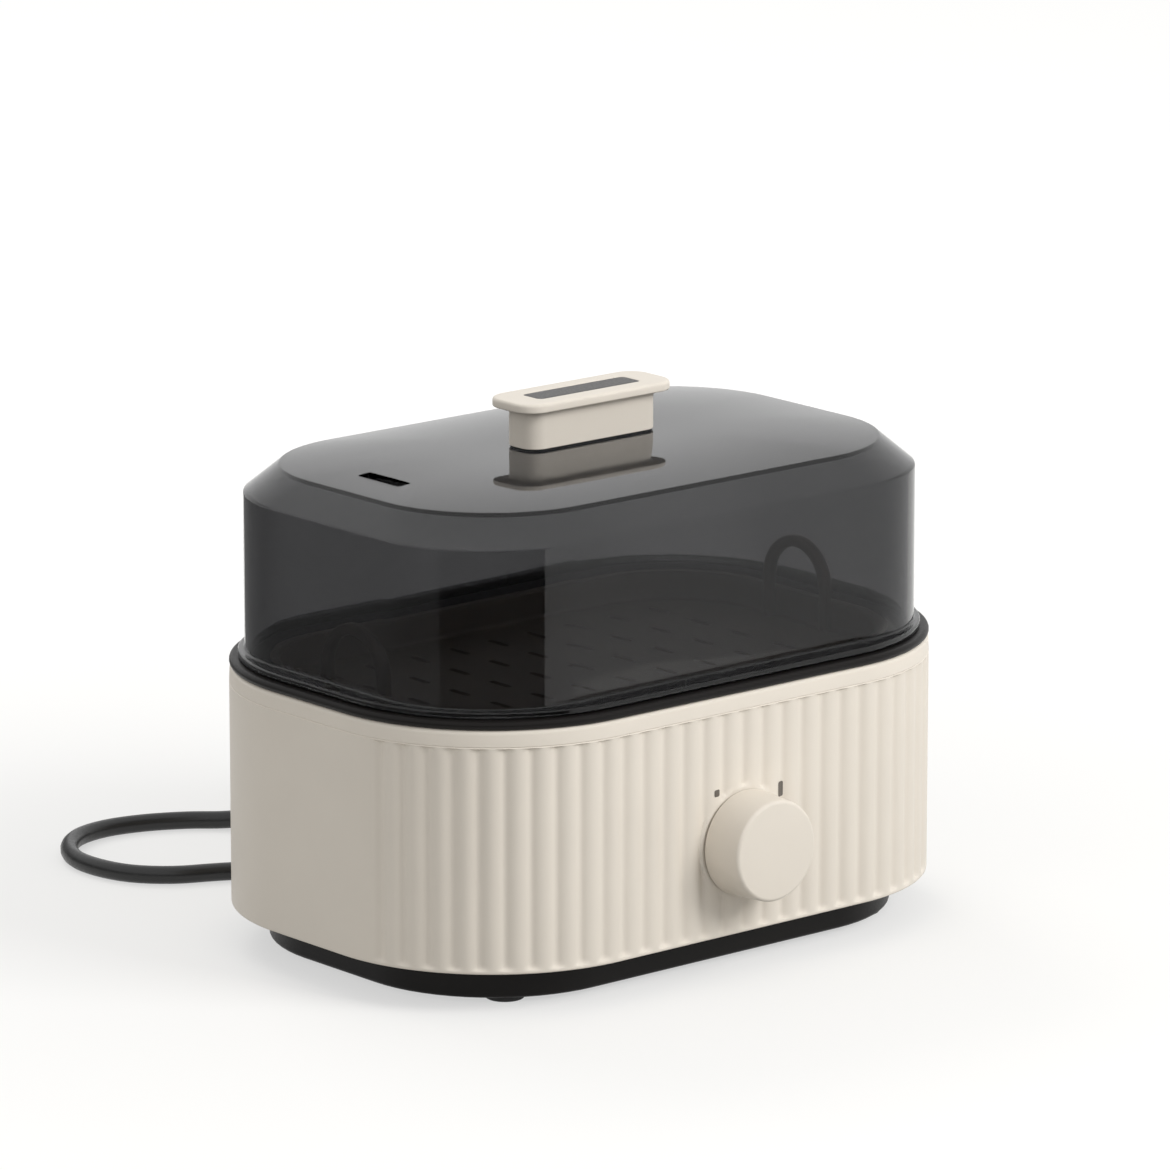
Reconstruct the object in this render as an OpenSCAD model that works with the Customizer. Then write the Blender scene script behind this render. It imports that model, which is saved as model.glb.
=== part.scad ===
// Electric egg cooker: fluted casing, heating dish, lift-out tray, smoked lid, timer knob and mains lead.
// Millimetres. +Z up, the knob faces -Y, the origin is on the table at the middle of the casing.

/* [Casing] */
// Width of the casing, left to right
casing_w = 240; // [200:1:280]
// Depth of the casing, front to back
casing_d = 168; // [150:1:200]
// Height of the casing's wall
casing_h = 83; // [75:1:100]
// Corner radius of the casing, seen from above
casing_r = 65; // [55:1:72]
// Wall thickness of the casing
casing_wall = 3; // [2.5:0.1:4]

/* [Flutes] */
// Distance from one flute to the next, along the wall
flute_pitch = 8.75; // [7:0.05:12]
// Depth of a flute, which is the valley between two round ribs
flute_depth = 1.1; // [0.6:0.1:1.4]
// Width of a rib's round face
rib_w = 7.6; // [5:0.1:9]
// How far round each front corner the flutes run, in degrees
flute_wrap = 76; // [40:1:80]
// Height of the plain band above the flutes
plain_band_h = 6; // [4:0.5:12]
// Height of the plain lip below the flutes
plain_lip_h = 1; // [0.6:0.1:3]

/* [Base] */
// Height of a foot
foot_h = 2; // [2:0.5:6]
// Radius of a foot
foot_r = 7; // [5:0.5:9]
// Height of the base pan that shows below the casing
pan_h = 12; // [8:0.5:16]
// How far the base pan stands in from the casing's face
pan_inset = 12.8; // [11:0.1:18]
// Wall thickness of the base pan
pan_wall = 2.4; // [2:0.1:3.5]
// Radius of a self-tapping screw's shank
screw_r = 1.5; // [1.2:0.1:2]
// Radius of a screw's head
screw_head_r = 2.8; // [2.4:0.1:3.2]

/* [Trim ring and dish] */
// Height of the trim ring above the casing
ring_h = 3; // [2.5:0.1:5]
// Width of the ring's ledge at the two ends, from the casing's face to the opening
ring_ledge_x = 17.5; // [16.5:0.5:26]
// Width of the ring's ledge at the front and back
ring_ledge_y = 19; // [18.5:0.5:26]
// How much smaller the opening's corner radius is than the casing's
ring_corner_in = 27; // [22:1:34]
// Depth of the ring's skirt inside the casing
skirt_h = 9; // [6:0.5:12]
// Thickness of the dish's seal
seal_t = 0.8; // [0.6:0.1:1.5]
// Sheet thickness of the heating dish
dish_t = 1.2; // [0.8:0.1:2]
// Depth of the heating dish below its flange
dish_depth = 21; // [16:0.5:26]

/* [Heater] */
// Width of the heating element's loop, to the middle of the tube
heater_w = 130; // [90:1:150]
// Depth of the heating element's loop, to the middle of the tube
heater_d = 70; // [55:1:85]
// Bend radius of the heating element
heater_bend_r = 26; // [15:1:27]
// Radius of the heating element's tube
heater_r = 4; // [3:0.25:5]
// Gap between the two ends of the element
heater_gap = 44; // [36:1:60]
// Radius of the thermostat's can
thermostat_r = 8; // [6:0.5:9]
// Height of the thermostat
thermostat_h = 9; // [7:0.5:12]

/* [Egg tray] */
// How far the tray's rim reaches over the ring
tray_rim = 2.5; // [1.5:0.1:4]
// Thickness of the tray's rim, wall and floor
tray_t = 2; // [1.6:0.1:2.6]
// Depth from the rim down to the tray's floor
tray_depth = 10; // [7:0.5:14]
// Length of a drain slot
slot_len = 11; // [6:0.5:14]
// Width of a drain slot
slot_w = 2.6; // [2:0.1:3.4]
// Distance between columns of slots
slot_pitch_x = 18; // [14:0.5:24]
// Distance between rows of slots
slot_pitch_y = 22; // [18:0.5:28]
// Width of a finger loop, outside
loop_w = 33; // [28:0.5:40]
// Height of a finger loop above the rim
loop_h = 18.5; // [18:0.5:24]
// Band width of a finger loop
loop_band = 4; // [3:0.25:5]
// Thickness of a finger loop
loop_t = 4; // [3:0.25:6]

/* [Lid] */
// How far the lid's wall stands in from the casing's face at the two ends
lid_inset_x = 9; // [6:0.2:10.4]
// How far the lid's wall stands in at the front and back
lid_inset_y = 9.6; // [6:0.2:11.8]
// How much smaller the lid's corner radius is than the casing's
lid_corner_in = 19.2; // [14:0.2:24]
// How far the flange at the lid's foot stands in from the casing's face
lid_flange_in = 3; // [2:0.2:5]
// Height of the flange at the lid's foot
lid_flange_h = 2.2; // [1.6:0.1:3]
// Wall thickness of the lid
lid_t = 2.4; // [1.8:0.1:2.8]
// Height of the lid's straight wall
lid_wall_h = 56.2; // [45:0.2:80]
// How far the lid's chamfer leans in
chamfer_in = 9; // [5:0.5:14]
// Height of the lid's chamfer
chamfer_h = 9.8; // [6:0.2:14]
// How much smaller the corner radius is at the chamfer's upper edge
top_corner_in = 1; // [0:0.2:8]
// Rise of the lid's crown above the chamfer
crown_h = 3.4; // [2.5:0.2:6]
// Length of the steam vent
vent_len = 22; // [14:0.5:30]
// Width of the steam vent
vent_w = 5.4; // [4.6:0.2:8]
// Distance of the steam vent from the lid's middle
vent_x = 86; // [70:1:88]

/* [Lid handle] */
// Width of the handle's stem
stem_w = 57; // [48:0.5:66]
// Depth of the handle's stem
stem_d = 16; // [14:0.5:20]
// Height of the handle's stem
stem_h = 13.5; // [10:0.5:24]
// Width of the handle's cap
cap_w = 67; // [60:0.5:80]
// Depth of the handle's cap
cap_d = 24; // [20:0.5:30]
// Thickness of the handle's cap
cap_h = 3.2; // [2.6:0.1:5]
// Thickness of the gasket under the handle
gasket_t = 0.6; // [0.6:0.1:2]
// Distance between the two handle screws
handle_screw_gap = 36; // [26:1:42]

/* [Knob and timer] */
// Radius of the knob at its back
knob_r = 18.3; // [16:0.1:22]
// Radius of the knob at its front
knob_front_r = 17.3; // [15:0.1:18.5]
// Length of the knob
knob_len = 15.8; // [15:0.2:24]
// Rounding of the knob's front edge
knob_edge_r = 1.4; // [1:0.2:3]
// Wall thickness of the knob
knob_wall = 2.4; // [1.8:0.2:3]
// Height of the knob's axis above the casing's lower edge
knob_up = 31.5; // [26:0.5:40]
// Radius of the smooth pad behind the knob
pad_r = 19; // [19:0.2:26]
// Radius of the control spindle
spindle_r = 3; // [2:0.25:3.5]
// Radius of the timer's threaded bush
bush_r = 5; // [4.5:0.25:6]
// Width and height of the timer's housing
timer_w = 42; // [30:1:44]
// Depth of the timer's housing
timer_d = 24; // [16:1:28]

/* [Mains lead] */
// Diameter of the mains lead
cord_d = 6.4; // [5:0.1:7]
// Length of the strain relief behind the casing
relief_len = 20; // [20:1:24]
// Radius of the strain relief at the casing
relief_r = 6.2; // [5.5:0.1:7]
// Height of the lead's exit above the casing's lower edge
exit_up = 12; // [12:0.5:16]
// Outer radius of the coil, to the middle of the lead
coil_r = 38; // [36:0.5:42]
// Step from one turn of the coil to the next
coil_step = 7.4; // [7.2:0.1:8]
// Thickness of the coil's tie
tie_t = 0.6; // [0.5:0.1:1]
// Width of the coil's tie
tie_w = 8; // [5:0.5:12]
// Length of the plug's body
plug_len = 32; // [26:1:40]
// Width of the plug's body
plug_w = 34; // [28:1:40]
// Radius of a plug pin
pin_r = 2.4; // [2:0.1:2.4]
// Length of a plug pin
pin_len = 19; // [15:0.5:20]
// Distance between the plug's pins
pin_gap = 19; // [17:0.5:20]

/* [Fits] */
// Clearance between a push-in piece and its seat
fit_gap = 0.1; // [0.05:0.05:0.2]
// Radial clearance of the turning spindle
run_gap = 0.05; // [0.02:0.01:0.1]
// Clearance between pieces that lift apart
lift_gap = 0.3; // [0.2:0.05:0.5]

/* [Hidden] */

// Fineness of true curves and of the faces inside a hull
$fn = 64;
hull_fn = 32;
// Overrun of a cut past the face it opens
over = 1;

// Heights, from the table up
casing_z = foot_h + pan_h;
casing_top = casing_z + casing_h;
ring_top = casing_top + ring_h;
flute_z = casing_z + plain_lip_h;
flute_top = casing_top - plain_band_h;
knob_z = casing_z + knob_up;
exit_z = casing_z + exit_up;
lid_z = ring_top + lift_gap;
chamfer_z = lid_z + lid_wall_h;
lid_edge_z = chamfer_z + chamfer_h;
crown_z = lid_edge_z + crown_h;
handle_z = crown_z + gasket_t;
cap_z = handle_z + stem_h;
handle_top = cap_z + cap_h;

// Base pan: a flange inside the casing's lower edge, and the pan below it
flange_t = 2.6;
flange_up = 0.4;
flange_z = casing_z + flange_up;
flange_inset = casing_wall + lift_gap;
pan_w = casing_w - 2 * pan_inset;
pan_d = casing_d - 2 * pan_inset;
pan_r = casing_r - pan_inset;
pan_floor = foot_h + pan_wall;
corner_x = casing_w / 2 - casing_r;
corner_y = casing_d / 2 - casing_r;
base_boss_r = 4.6;
base_boss_h = 26;
base_boss_sink = 0.6;
base_boss_reach = casing_r - casing_wall - base_boss_r + base_boss_sink;
base_boss_spots = [for (x = [-1, 1], y = [-1, 1])
    [x * (corner_x + base_boss_reach * cos(45)), y * (corner_y + base_boss_reach * sin(45))]];
base_boss_z = flange_z + flange_t;
screw_head_h = 1.8;
base_screw_len = 16;
screw_tip_room = 1;
foot_in = 2;
foot_turn = 55;
foot_reach = pan_r - foot_r - foot_in;
foot_spots = [for (x = [-1, 1], y = [-1, 1])
    [x * (corner_x + foot_reach * cos(foot_turn)), y * (corner_y + foot_reach * sin(foot_turn))]];
foot_stem_r = 2.6;
foot_stem_tip = 1.2;
foot_stem_h = pan_wall + foot_stem_tip;
pan_vent_len = 26;
pan_vent_w = 3;
pan_vent_pitch = 9;

// Outlines that follow the casing's
ring_open_w = casing_w - 2 * ring_ledge_x;
ring_open_d = casing_d - 2 * ring_ledge_y;
ring_open_r = casing_r - ring_corner_in;
tray_w = ring_open_w + 2 * tray_rim;
tray_d = ring_open_d + 2 * tray_rim;
tray_r = ring_open_r + tray_rim;
lid_w = casing_w - 2 * lid_inset_x;
lid_d = casing_d - 2 * lid_inset_y;
lid_r = casing_r - lid_corner_in;
lid_top_r = lid_r - top_corner_in;

// Trim ring: rounded bead, deck, skirt and the thicker inner deck that the dish is screwed to
bead_r = ring_h / 2;
skirt_inset = casing_wall + fit_gap;
skirt_t = 2.2;
deck_gap = 0.6;
deck_inset = skirt_inset + skirt_t + deck_gap;
deck_drop = 2;
deck_z = casing_top - deck_drop;
dish_flange_z = deck_z - seal_t - dish_t;
dish_inner_z = dish_flange_z - dish_depth;
dish_screw_out = 4.8;
dish_screw_bite = 3.6;
dish_screw_len = seal_t + dish_t + dish_screw_bite;
dish_screw_spots = [for (x = [-1, 1], y = [-1, 1]) [x * corner_x, y * (ring_open_d / 2 + dish_screw_out)]];
dish_wall_w = ring_open_w + 2 * dish_t;
dish_wall_d = ring_open_d + 2 * dish_t;
dish_wall_r = ring_open_r + dish_t;
dish_bottom_z = dish_inner_z - dish_t;

// Heater, thermostat and fuse, carried on the dish's underside
heater_z = dish_bottom_z - heater_r;
tab_w = 6.3;
tab_t = 0.8;
tab_len = 9;
tab_x = heater_gap / 2 - tab_len / 2;
sensor_z = dish_bottom_z - thermostat_h;
bracket_t = 1;
bracket_len = 76;
bracket_w = 12;
bracket_z = sensor_z - bracket_t;
post_r = 3.4;
post_in = 1;
post_x = bracket_len / 2 - post_r - post_in;
fuse_x = 19;
fuse_r = 2;
fuse_len = 14;
fuse_block_w = 9;
fuse_block_d = 11;
bracket_screw_len = 6;

// Egg tray
tray_rim_z = ring_top + lift_gap;
tray_top = tray_rim_z + tray_t;
tray_play = 1.3;
tray_wall_w = ring_open_w - 2 * tray_play;
tray_wall_d = ring_open_d - 2 * tray_play;
tray_wall_r = ring_open_r - tray_play;
tray_floor_z = tray_top - tray_depth;
tray_bottom_z = tray_floor_z - tray_t;
loop_r = loop_w / 2;
loop_mid_z = tray_top + loop_h - loop_r;
loop_sink = 0.5;
loop_x = tray_wall_w / 2 - tray_t - loop_t / 2 + loop_sink;
slot_margin = 6;
slot_cols = floor((tray_wall_w / 2 - tray_t - loop_t - slot_w - slot_margin) / slot_pitch_x);
slot_rows = floor((tray_wall_d / 2 - tray_t - slot_len / 2 - slot_margin) / slot_pitch_y);

// Lid: outlines of the chamfer's edge and of the crown's steps
lid_top_w = lid_w - 2 * chamfer_in;
lid_top_d = lid_d - 2 * chamfer_in;
crown_steps = [[0.30, 0.62], [0.62, 0.92]];
crown_flat_out = 4;
crown_flat_w = cap_w + 2 * crown_flat_out;
crown_flat_d = stem_d + 2 * crown_flat_out;
crown_flat_r = 10;
sheet_t = 0.02;

// Handle
gasket_in = 0.5;
stem_r = 6;
cap_r = 8;
inlay_in_x = 11;
inlay_in_y = 7;
inlay_w = cap_w - 2 * inlay_in_x;
inlay_d = cap_d - 2 * inlay_in_y;
inlay_t = 0.6;
handle_screw_bite = 9;
handle_screw_len = lid_t + gasket_t + handle_screw_bite;

// Knob and timer, along the knob's axis: y is negative towards the front
face_y = -casing_d / 2;
pad_depth = casing_wall;
knob_gap = 0.6;
knob_back_y = face_y - knob_gap;
knob_front_y = knob_back_y - knob_len;
knob_roof = 3;
hub_wall = 3;
hub_r = spindle_r + hub_wall;
nut_t = 2.4;
nut_wall = 3.2;
nut_r = bush_r + nut_wall;
bush_proud = 1;
bush_front_y = face_y - nut_t - bush_proud;
hub_gap = 2.1;
hub_back_y = bush_front_y - hub_gap;
timer_front_y = face_y + pad_depth + fit_gap;
timer_back_y = timer_front_y + timer_d;
timer_back_t = 4;
spindle_back_y = timer_back_y - timer_back_t;
spindle_front_y = knob_front_y + knob_roof + fit_gap;

// Lead inside the casing and its clamp
rear_y = casing_d / 2;
cord_r = cord_d / 2;
relief_flange_t = 2.5;
relief_flange_out = 1.8;
relief_flange_r = relief_r + relief_flange_out;
relief_tip_wall = 1.2;
relief_tip_r = cord_r + relief_tip_wall;
lead_start_y = rear_y - casing_wall - relief_flange_t - fit_gap;
lead_len = 26;
lead_end_y = lead_start_y - lead_len;
clamp_in = 12;
clamp_y = lead_start_y - clamp_in;
clamp_w = 34;
clamp_d = 8;
clamp_t = 2.6;
clamp_screw_x = 12;
clamp_post_r = 4;
clamp_z = exit_z + cord_r;
saddle_w = cord_d + 2;
clamp_screw_len = 9;
block_w = 30;
block_d = 13;
block_h = 13;
block_in = 16;
block_y = lead_end_y - block_in;
block_gap = 9;
block_bore_drop = 3.2;
block_bore_z = pan_floor + block_h - block_bore_drop;
wire_r = 1.2;
wire_straight = 14;
wire_dip = 10;
wire_sides = 6;

// The free lead: straight out of the strain relief, down to the table, round a loop and back to the coil
relief_end_y = rear_y + relief_len;
route = [
    [0, relief_end_y, exit_z],
    [0, 114, 26],
    [-1, 128, 22],
    [-4, 143, 13.5],
    [-10, 158, 6.5],
    [-20, 171, 3.6],
    [-31, 181, 3.2],
    [-45, 188, 3.2],
    [-60, 191, 3.2],
    [-74, 188, 3.2],
    [-85, 179, 3.2],
    [-92, 166, 3.2],
    [-93, 152, 3.2],
    [-89, 138, 3.2],
    [-79, 127, 3.2],
    [-65, 120, 3.2],
    [-50, 112, 3.2],
    [-34, 105, 3.2],
    [-18, 100, 3.2],
    [-2, 98, 3.2],
    [14, 97, 3.2],
    [30, 97, 3.2],
    [46, 98, 3.4],
    [60, 99, 3.8],
    [70, 100, 4.1],
    [78, 100, 4.1]
];
route_end = route[len(route) - 1];
cord_sides = 10;

// The coil: a turn in, half a turn up where the spiral reverses, and a turn out on the layer above
coil_x = 88;
coil_lift = tie_t + lift_gap;
coil_z = cord_r + coil_lift;
coil_rest = 0.7;
coil_layer = cord_d + coil_rest;
coil_y = route_end.y + coil_r;
coil_turns = 2.5;
coil_tail = 24;
coil_rings = 24;
coil_sides = 6;
tie_slack = 0.5;

function turned_in(t) = t < 1.25 ? t : 2.5 - t;
function climbed(t) = min(max((t - 1) * 2, 0), 1);
function coil_point(t) =
    let (r = coil_r - coil_step * turned_in(t), a = 360 * t - 90)
    [coil_x + r * cos(a), coil_y + r * sin(a), coil_z + coil_layer * climbed(t)];
coil_turn_points = [for (i = [0 : coil_turns * coil_rings]) coil_point(i / coil_rings)];
coil_first = coil_turn_points[0];
coil_last = coil_turn_points[len(coil_turn_points) - 1];
coil_start = [route_end.x, route_end.y, coil_z];
coil_end = coil_last - [coil_tail, 0, 0];
coil_points = concat([coil_start], coil_turn_points, [coil_end]);

// Least distance between stretches of the coil that are over a quarter turn apart
coil_gap = min([for (i = [0 : len(coil_points) - 1], j = [i + coil_rings / 4 : len(coil_points) - 1])
    norm(coil_points[i] - coil_points[j])]) - cord_d;
echo(coil_gap = coil_gap);

// Plug: its lead's entry is level with the coil's upper layer, so the plug lies flat on the table
plug_axis_z = coil_end.z;
plug_h = 2 * plug_axis_z;
plug_boot_len = 14;
plug_boot_wall = 2.2;
plug_boot_flare = 1.4;
plug_boot_r = cord_r + plug_boot_wall;
plug_corner_flat = 3;
plug_x = coil_end.x - plug_boot_len;
plug_y = coil_end.y;

// Sweeping: a ring of points square to the path at each of its points, joined into one closed tube
function unit(v) = v / norm(v);
function heading(p, i) = unit(p[min(i + 1, len(p) - 1)] - p[max(i - 1, 0)]);
function sideways(h) = abs(h.z) > 0.9 ? [1, 0, 0] : unit(cross([0, 0, 1], h));
function ring_at(p, i, r, n) =
    let (h = heading(p, i), s = sideways(h), u = cross(h, s))
    [for (k = [0 : n - 1]) p[i] + r * (s * cos(360 * k / n) + u * sin(360 * k / n))];
function tube_faces(count, n) = concat(
    [for (k = [1 : n - 2]) [0, k + 1, k]],
    [for (i = [0 : count - 2], k = [0 : n - 1]) [i * n + k, i * n + (k + 1) % n, (i + 1) * n + (k + 1) % n]],
    [for (i = [0 : count - 2], k = [0 : n - 1]) [i * n + k, (i + 1) * n + (k + 1) % n, (i + 1) * n + k]],
    [for (k = [1 : n - 2]) [(count - 1) * n, (count - 1) * n + k, (count - 1) * n + k + 1]]
);

module tube(p, r, n) {
    points = [for (i = [0 : len(p) - 1]) each ring_at(p, i, r, n)];
    polyhedron(points, [for (f = tube_faces(len(p), n)) [f[0], f[2], f[1]]]);
}

// A rectangle with round corners
module rounded(w, d, r) {
    square([w - 2 * r, d], center = true);
    square([w, d - 2 * r], center = true);
    for (x = [-1, 1], y = [-1, 1])
        translate([x * (w / 2 - r), y * (d / 2 - r)]) circle(r);
}

// A slab of that outline, drawn in by inset
module slab(w, d, r, inset, z, h) {
    translate([0, 0, z]) linear_extrude(h) rounded(w - 2 * inset, d - 2 * inset, r - inset);
}

// A profile carried round a rounded rectangle; its x is measured outwards from the corner's axis
module carried_round(w, d, r) {
    for (c = [[1, 1, 0], [-1, 1, 90], [-1, -1, 180], [1, -1, 270]])
        translate([c[0] * (w / 2 - r), c[1] * (d / 2 - r), 0])
            rotate(c[2]) rotate_extrude(angle = 90) children();
    for (turn = [0, 180]) rotate(turn) {
        translate([-(w / 2 - r), d / 2 - r, 0]) rotate([90, 0, 90]) linear_extrude(w - 2 * r) children();
        translate([w / 2 - r, d / 2 - r, 0]) rotate([90, 0, 0]) linear_extrude(d - 2 * r) children();
    }
}

// A round bar along Y, from one y to another
module bar_y(r, from_y, to_y) {
    translate([0, min(from_y, to_y), 0]) rotate([-90, 0, 0]) cylinder(r = r, h = abs(to_y - from_y));
}

// A slot with round ends, along Y
module slot_shape(length, width) {
    square([width, length - width], center = true);
    for (y = [-1, 1]) translate([0, y * (length - width) / 2]) circle(width / 2);
}

// A screw that points up: its head's top face is at the origin
module screw(length, head_r) {
    translate([0, 0, -screw_head_h]) cylinder(r = head_r, h = screw_head_h);
    cylinder(r = screw_r, h = length);
}

// The hole for that screw
module pilot(length) {
    translate([0, 0, -over]) cylinder(r = screw_r + fit_gap, h = length + over + screw_tip_room);
}

// Where a rib lies: its point on the wall and the way the wall faces there
function flute_turn(s) = s == 0 ? 0 : sign(s) * max(abs(s) - corner_x, 0) / casing_r * 180 / PI;
function flute_spot(s) =
    let (a = flute_turn(s), along = sign(s) * min(abs(s), corner_x))
    [along + casing_r * sin(a), -corner_y - casing_r * cos(a), a];
flute_pairs = floor((corner_x + casing_r * flute_wrap * PI / 180) / flute_pitch);
rib_spots = [for (k = [-flute_pairs - 1 : flute_pairs]) flute_spot((k + 0.5) * flute_pitch)];
flute_end_y = rib_spots[0].y;

// Ribs stand just inside the plain wall's face, and their roots just below the valleys
rib_in = 0.05;
rib_root = 0.1;
rib_rise = flute_depth - rib_in + rib_root;
rib_r = (rib_w * rib_w / 4 + rib_rise * rib_rise) / (2 * rib_rise);

// The casing's outline where it is fluted: plain at the back, valleys and ribs round the front
module fluted_outline() {
    difference() {
        rounded(casing_w, casing_d, casing_r);
        translate([-casing_w / 2 - over, face_y - over])
            square([casing_w + 2 * over, flute_end_y - face_y + over]);
    }
    rounded(casing_w - 2 * flute_depth, casing_d - 2 * flute_depth, casing_r - flute_depth);
    for (spot = rib_spots)
        translate([spot[0], spot[1]]) rotate(spot[2]) translate([0, rib_in]) intersection() {
            translate([0, rib_r]) circle(rib_r);
            translate([-rib_w / 2, 0]) square([rib_w, rib_rise + over]);
        }
}

module outer_casing() color("#E1D7CB") {
    difference() {
        union() {
            difference() {
                union() {
                    slab(casing_w, casing_d, casing_r, 0, casing_z, plain_lip_h);
                    translate([0, 0, flute_z]) linear_extrude(flute_top - flute_z) fluted_outline();
                    slab(casing_w, casing_d, casing_r, 0, flute_top, plain_band_h);
                }
                slab(casing_w, casing_d, casing_r, casing_wall, casing_z - over, casing_h + 2 * over);
            }
            translate([0, 0, knob_z]) bar_y(pad_r, face_y, face_y + pad_depth);
            for (spot = base_boss_spots)
                translate([spot[0], spot[1], base_boss_z]) cylinder(r = base_boss_r, h = base_boss_h);
        }
        translate([0, 0, knob_z]) bar_y(bush_r + fit_gap, face_y - over, face_y + pad_depth + over);
        translate([0, 0, exit_z]) bar_y(relief_r + fit_gap, rear_y - casing_wall - over, rear_y + over);
        for (spot = base_boss_spots)
            translate([spot[0], spot[1], base_boss_z]) pilot(base_screw_len - flange_t);
    }
}

module ring_profile() {
    edge = casing_r;
    inner = edge - deck_inset - over;
    translate([edge - bead_r, casing_top + bead_r]) circle(bead_r);
    translate([inner, casing_top]) square([edge - bead_r - inner, ring_h]);
    translate([edge - skirt_inset - skirt_t, casing_top - skirt_h]) square([skirt_t, skirt_h + over]);
}

module trim_ring() color("#1C1B1A") {
    carried_round(casing_w, casing_d, casing_r) ring_profile();
    difference() {
        slab(casing_w, casing_d, casing_r, deck_inset, deck_z, ring_top - deck_z);
        slab(ring_open_w, ring_open_d, ring_open_r, 0, deck_z - over, ring_h + deck_drop + 2 * over);
        for (spot = dish_screw_spots)
            translate([spot[0], spot[1], deck_z]) pilot(dish_screw_bite);
    }
}

module dish_flange_holes(z, h) {
    for (spot = dish_screw_spots)
        translate([spot[0], spot[1], z - over]) cylinder(r = screw_r + fit_gap, h = h + 2 * over);
}

module dish_seal() color("#8E8A84") difference() {
    slab(casing_w, casing_d, casing_r, deck_inset, deck_z - seal_t, seal_t);
    slab(ring_open_w, ring_open_d, ring_open_r, 0, deck_z - seal_t - over, seal_t + 2 * over);
    dish_flange_holes(deck_z - seal_t, seal_t);
}

module heating_dish() color("#55565A") difference() {
    union() {
        slab(casing_w, casing_d, casing_r, deck_inset, dish_flange_z, dish_t);
        slab(dish_wall_w, dish_wall_d, dish_wall_r, 0, dish_bottom_z, dish_flange_z - dish_bottom_z);
        for (x = [-1, 1])
            translate([x * post_x, 0, sensor_z]) cylinder(r = post_r, h = thermostat_h);
    }
    slab(dish_wall_w, dish_wall_d, dish_wall_r, dish_t, dish_inner_z, dish_depth + dish_t + over);
    dish_flange_holes(dish_flange_z, dish_t);
    for (x = [-1, 1])
        translate([x * post_x, 0, sensor_z]) pilot(bracket_screw_len - bracket_t);
}

module dish_screws() color("silver")
    for (spot = dish_screw_spots)
        translate([spot[0], spot[1], dish_flange_z]) screw(dish_screw_len, screw_head_r);

module heating_element() color("#6D6A66") {
    bend_y = heater_d / 2 - heater_bend_r;
    difference() {
        translate([0, 0, heater_z])
            carried_round(heater_w, heater_d, heater_bend_r) translate([heater_bend_r, 0]) circle(heater_r);
        translate([-heater_gap / 2, bend_y, heater_z - heater_r - over])
            cube([heater_gap, heater_bend_r + heater_r + over, 2 * (heater_r + over)]);
    }
}

module element_terminals() color("#B9BCC0")
    for (x = [-1, 1])
        translate([x * tab_x, heater_d / 2, heater_z])
            cube([tab_len, tab_t, tab_w], center = true);

module thermostat() color("#D8D2C4") translate([0, 0, sensor_z])
    cylinder(r = thermostat_r, h = thermostat_h);

module sensor_bracket() color("#C4C7CA") difference() {
    translate([0, 0, bracket_z]) linear_extrude(bracket_t)
        rotate(90) slot_shape(bracket_len, bracket_w);
    for (x = [-1, 1])
        translate([x * post_x, 0, bracket_z - over])
            cylinder(r = screw_r + fit_gap, h = bracket_t + 2 * over);
}

module bracket_screws() color("silver")
    for (x = [-1, 1])
        translate([x * post_x, 0, bracket_z]) screw(bracket_screw_len, screw_head_r);

module fuse_block() color("#EDE8DC") difference() {
    translate([fuse_x, 0, sensor_z + thermostat_h / 2])
        cube([fuse_block_w, fuse_block_d, thermostat_h], center = true);
    translate([fuse_x, 0, sensor_z + thermostat_h / 2])
        bar_y(fuse_r + fit_gap, -fuse_block_d / 2 - over, fuse_block_d / 2 + over);
}

module thermal_fuse() color("#C9B48A") translate([fuse_x, 0, sensor_z + thermostat_h / 2])
    bar_y(fuse_r, -fuse_len / 2, fuse_len / 2);

module timer_housing() color("#E9E6DF") translate([0, 0, knob_z]) difference() {
    union() {
        translate([0, timer_front_y, 0]) rotate([-90, 0, 0]) linear_extrude(timer_d)
            rounded(timer_w, timer_w, bush_r);
        bar_y(bush_r, bush_front_y, timer_front_y + over);
    }
    bar_y(spindle_r + run_gap, bush_front_y - over, spindle_back_y + lift_gap);
}

module panel_nut() color("silver") translate([0, 0, knob_z]) difference() {
    translate([0, face_y - nut_t, 0]) rotate([-90, 0, 0]) cylinder(r = nut_r, h = nut_t - fit_gap, $fn = 6);
    bar_y(bush_r + fit_gap, face_y - nut_t - over, face_y + over);
}

module control_spindle() color("#B9BCC0") translate([0, 0, knob_z])
    bar_y(spindle_r, spindle_front_y, spindle_back_y);

module knob_profile() {
    difference() {
        union() {
            polygon([
                [0, 0], [knob_r, 0], [knob_front_r, knob_len - knob_edge_r], [0, knob_len - knob_edge_r]
            ]);
            translate([0, knob_len - knob_edge_r - over])
                square([knob_front_r - knob_edge_r, knob_edge_r + over]);
            intersection() {
                translate([knob_front_r - knob_edge_r, knob_len - knob_edge_r]) circle(knob_edge_r);
                translate([0, knob_len - knob_edge_r]) square([knob_front_r, knob_edge_r]);
            }
        }
        translate([hub_r, -over]) square([knob_front_r - knob_wall - hub_r, knob_len - knob_roof + over]);
        translate([-over, -over]) square([hub_r + 2 * over, knob_back_y - hub_back_y + over]);
        translate([-over, -over]) square([spindle_r + fit_gap / 2 + over, knob_len - knob_roof + over]);
    }
}

module control_knob() color("#E4DACE")
    translate([0, knob_back_y, knob_z]) rotate([90, 0, 0]) rotate_extrude() knob_profile();

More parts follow.
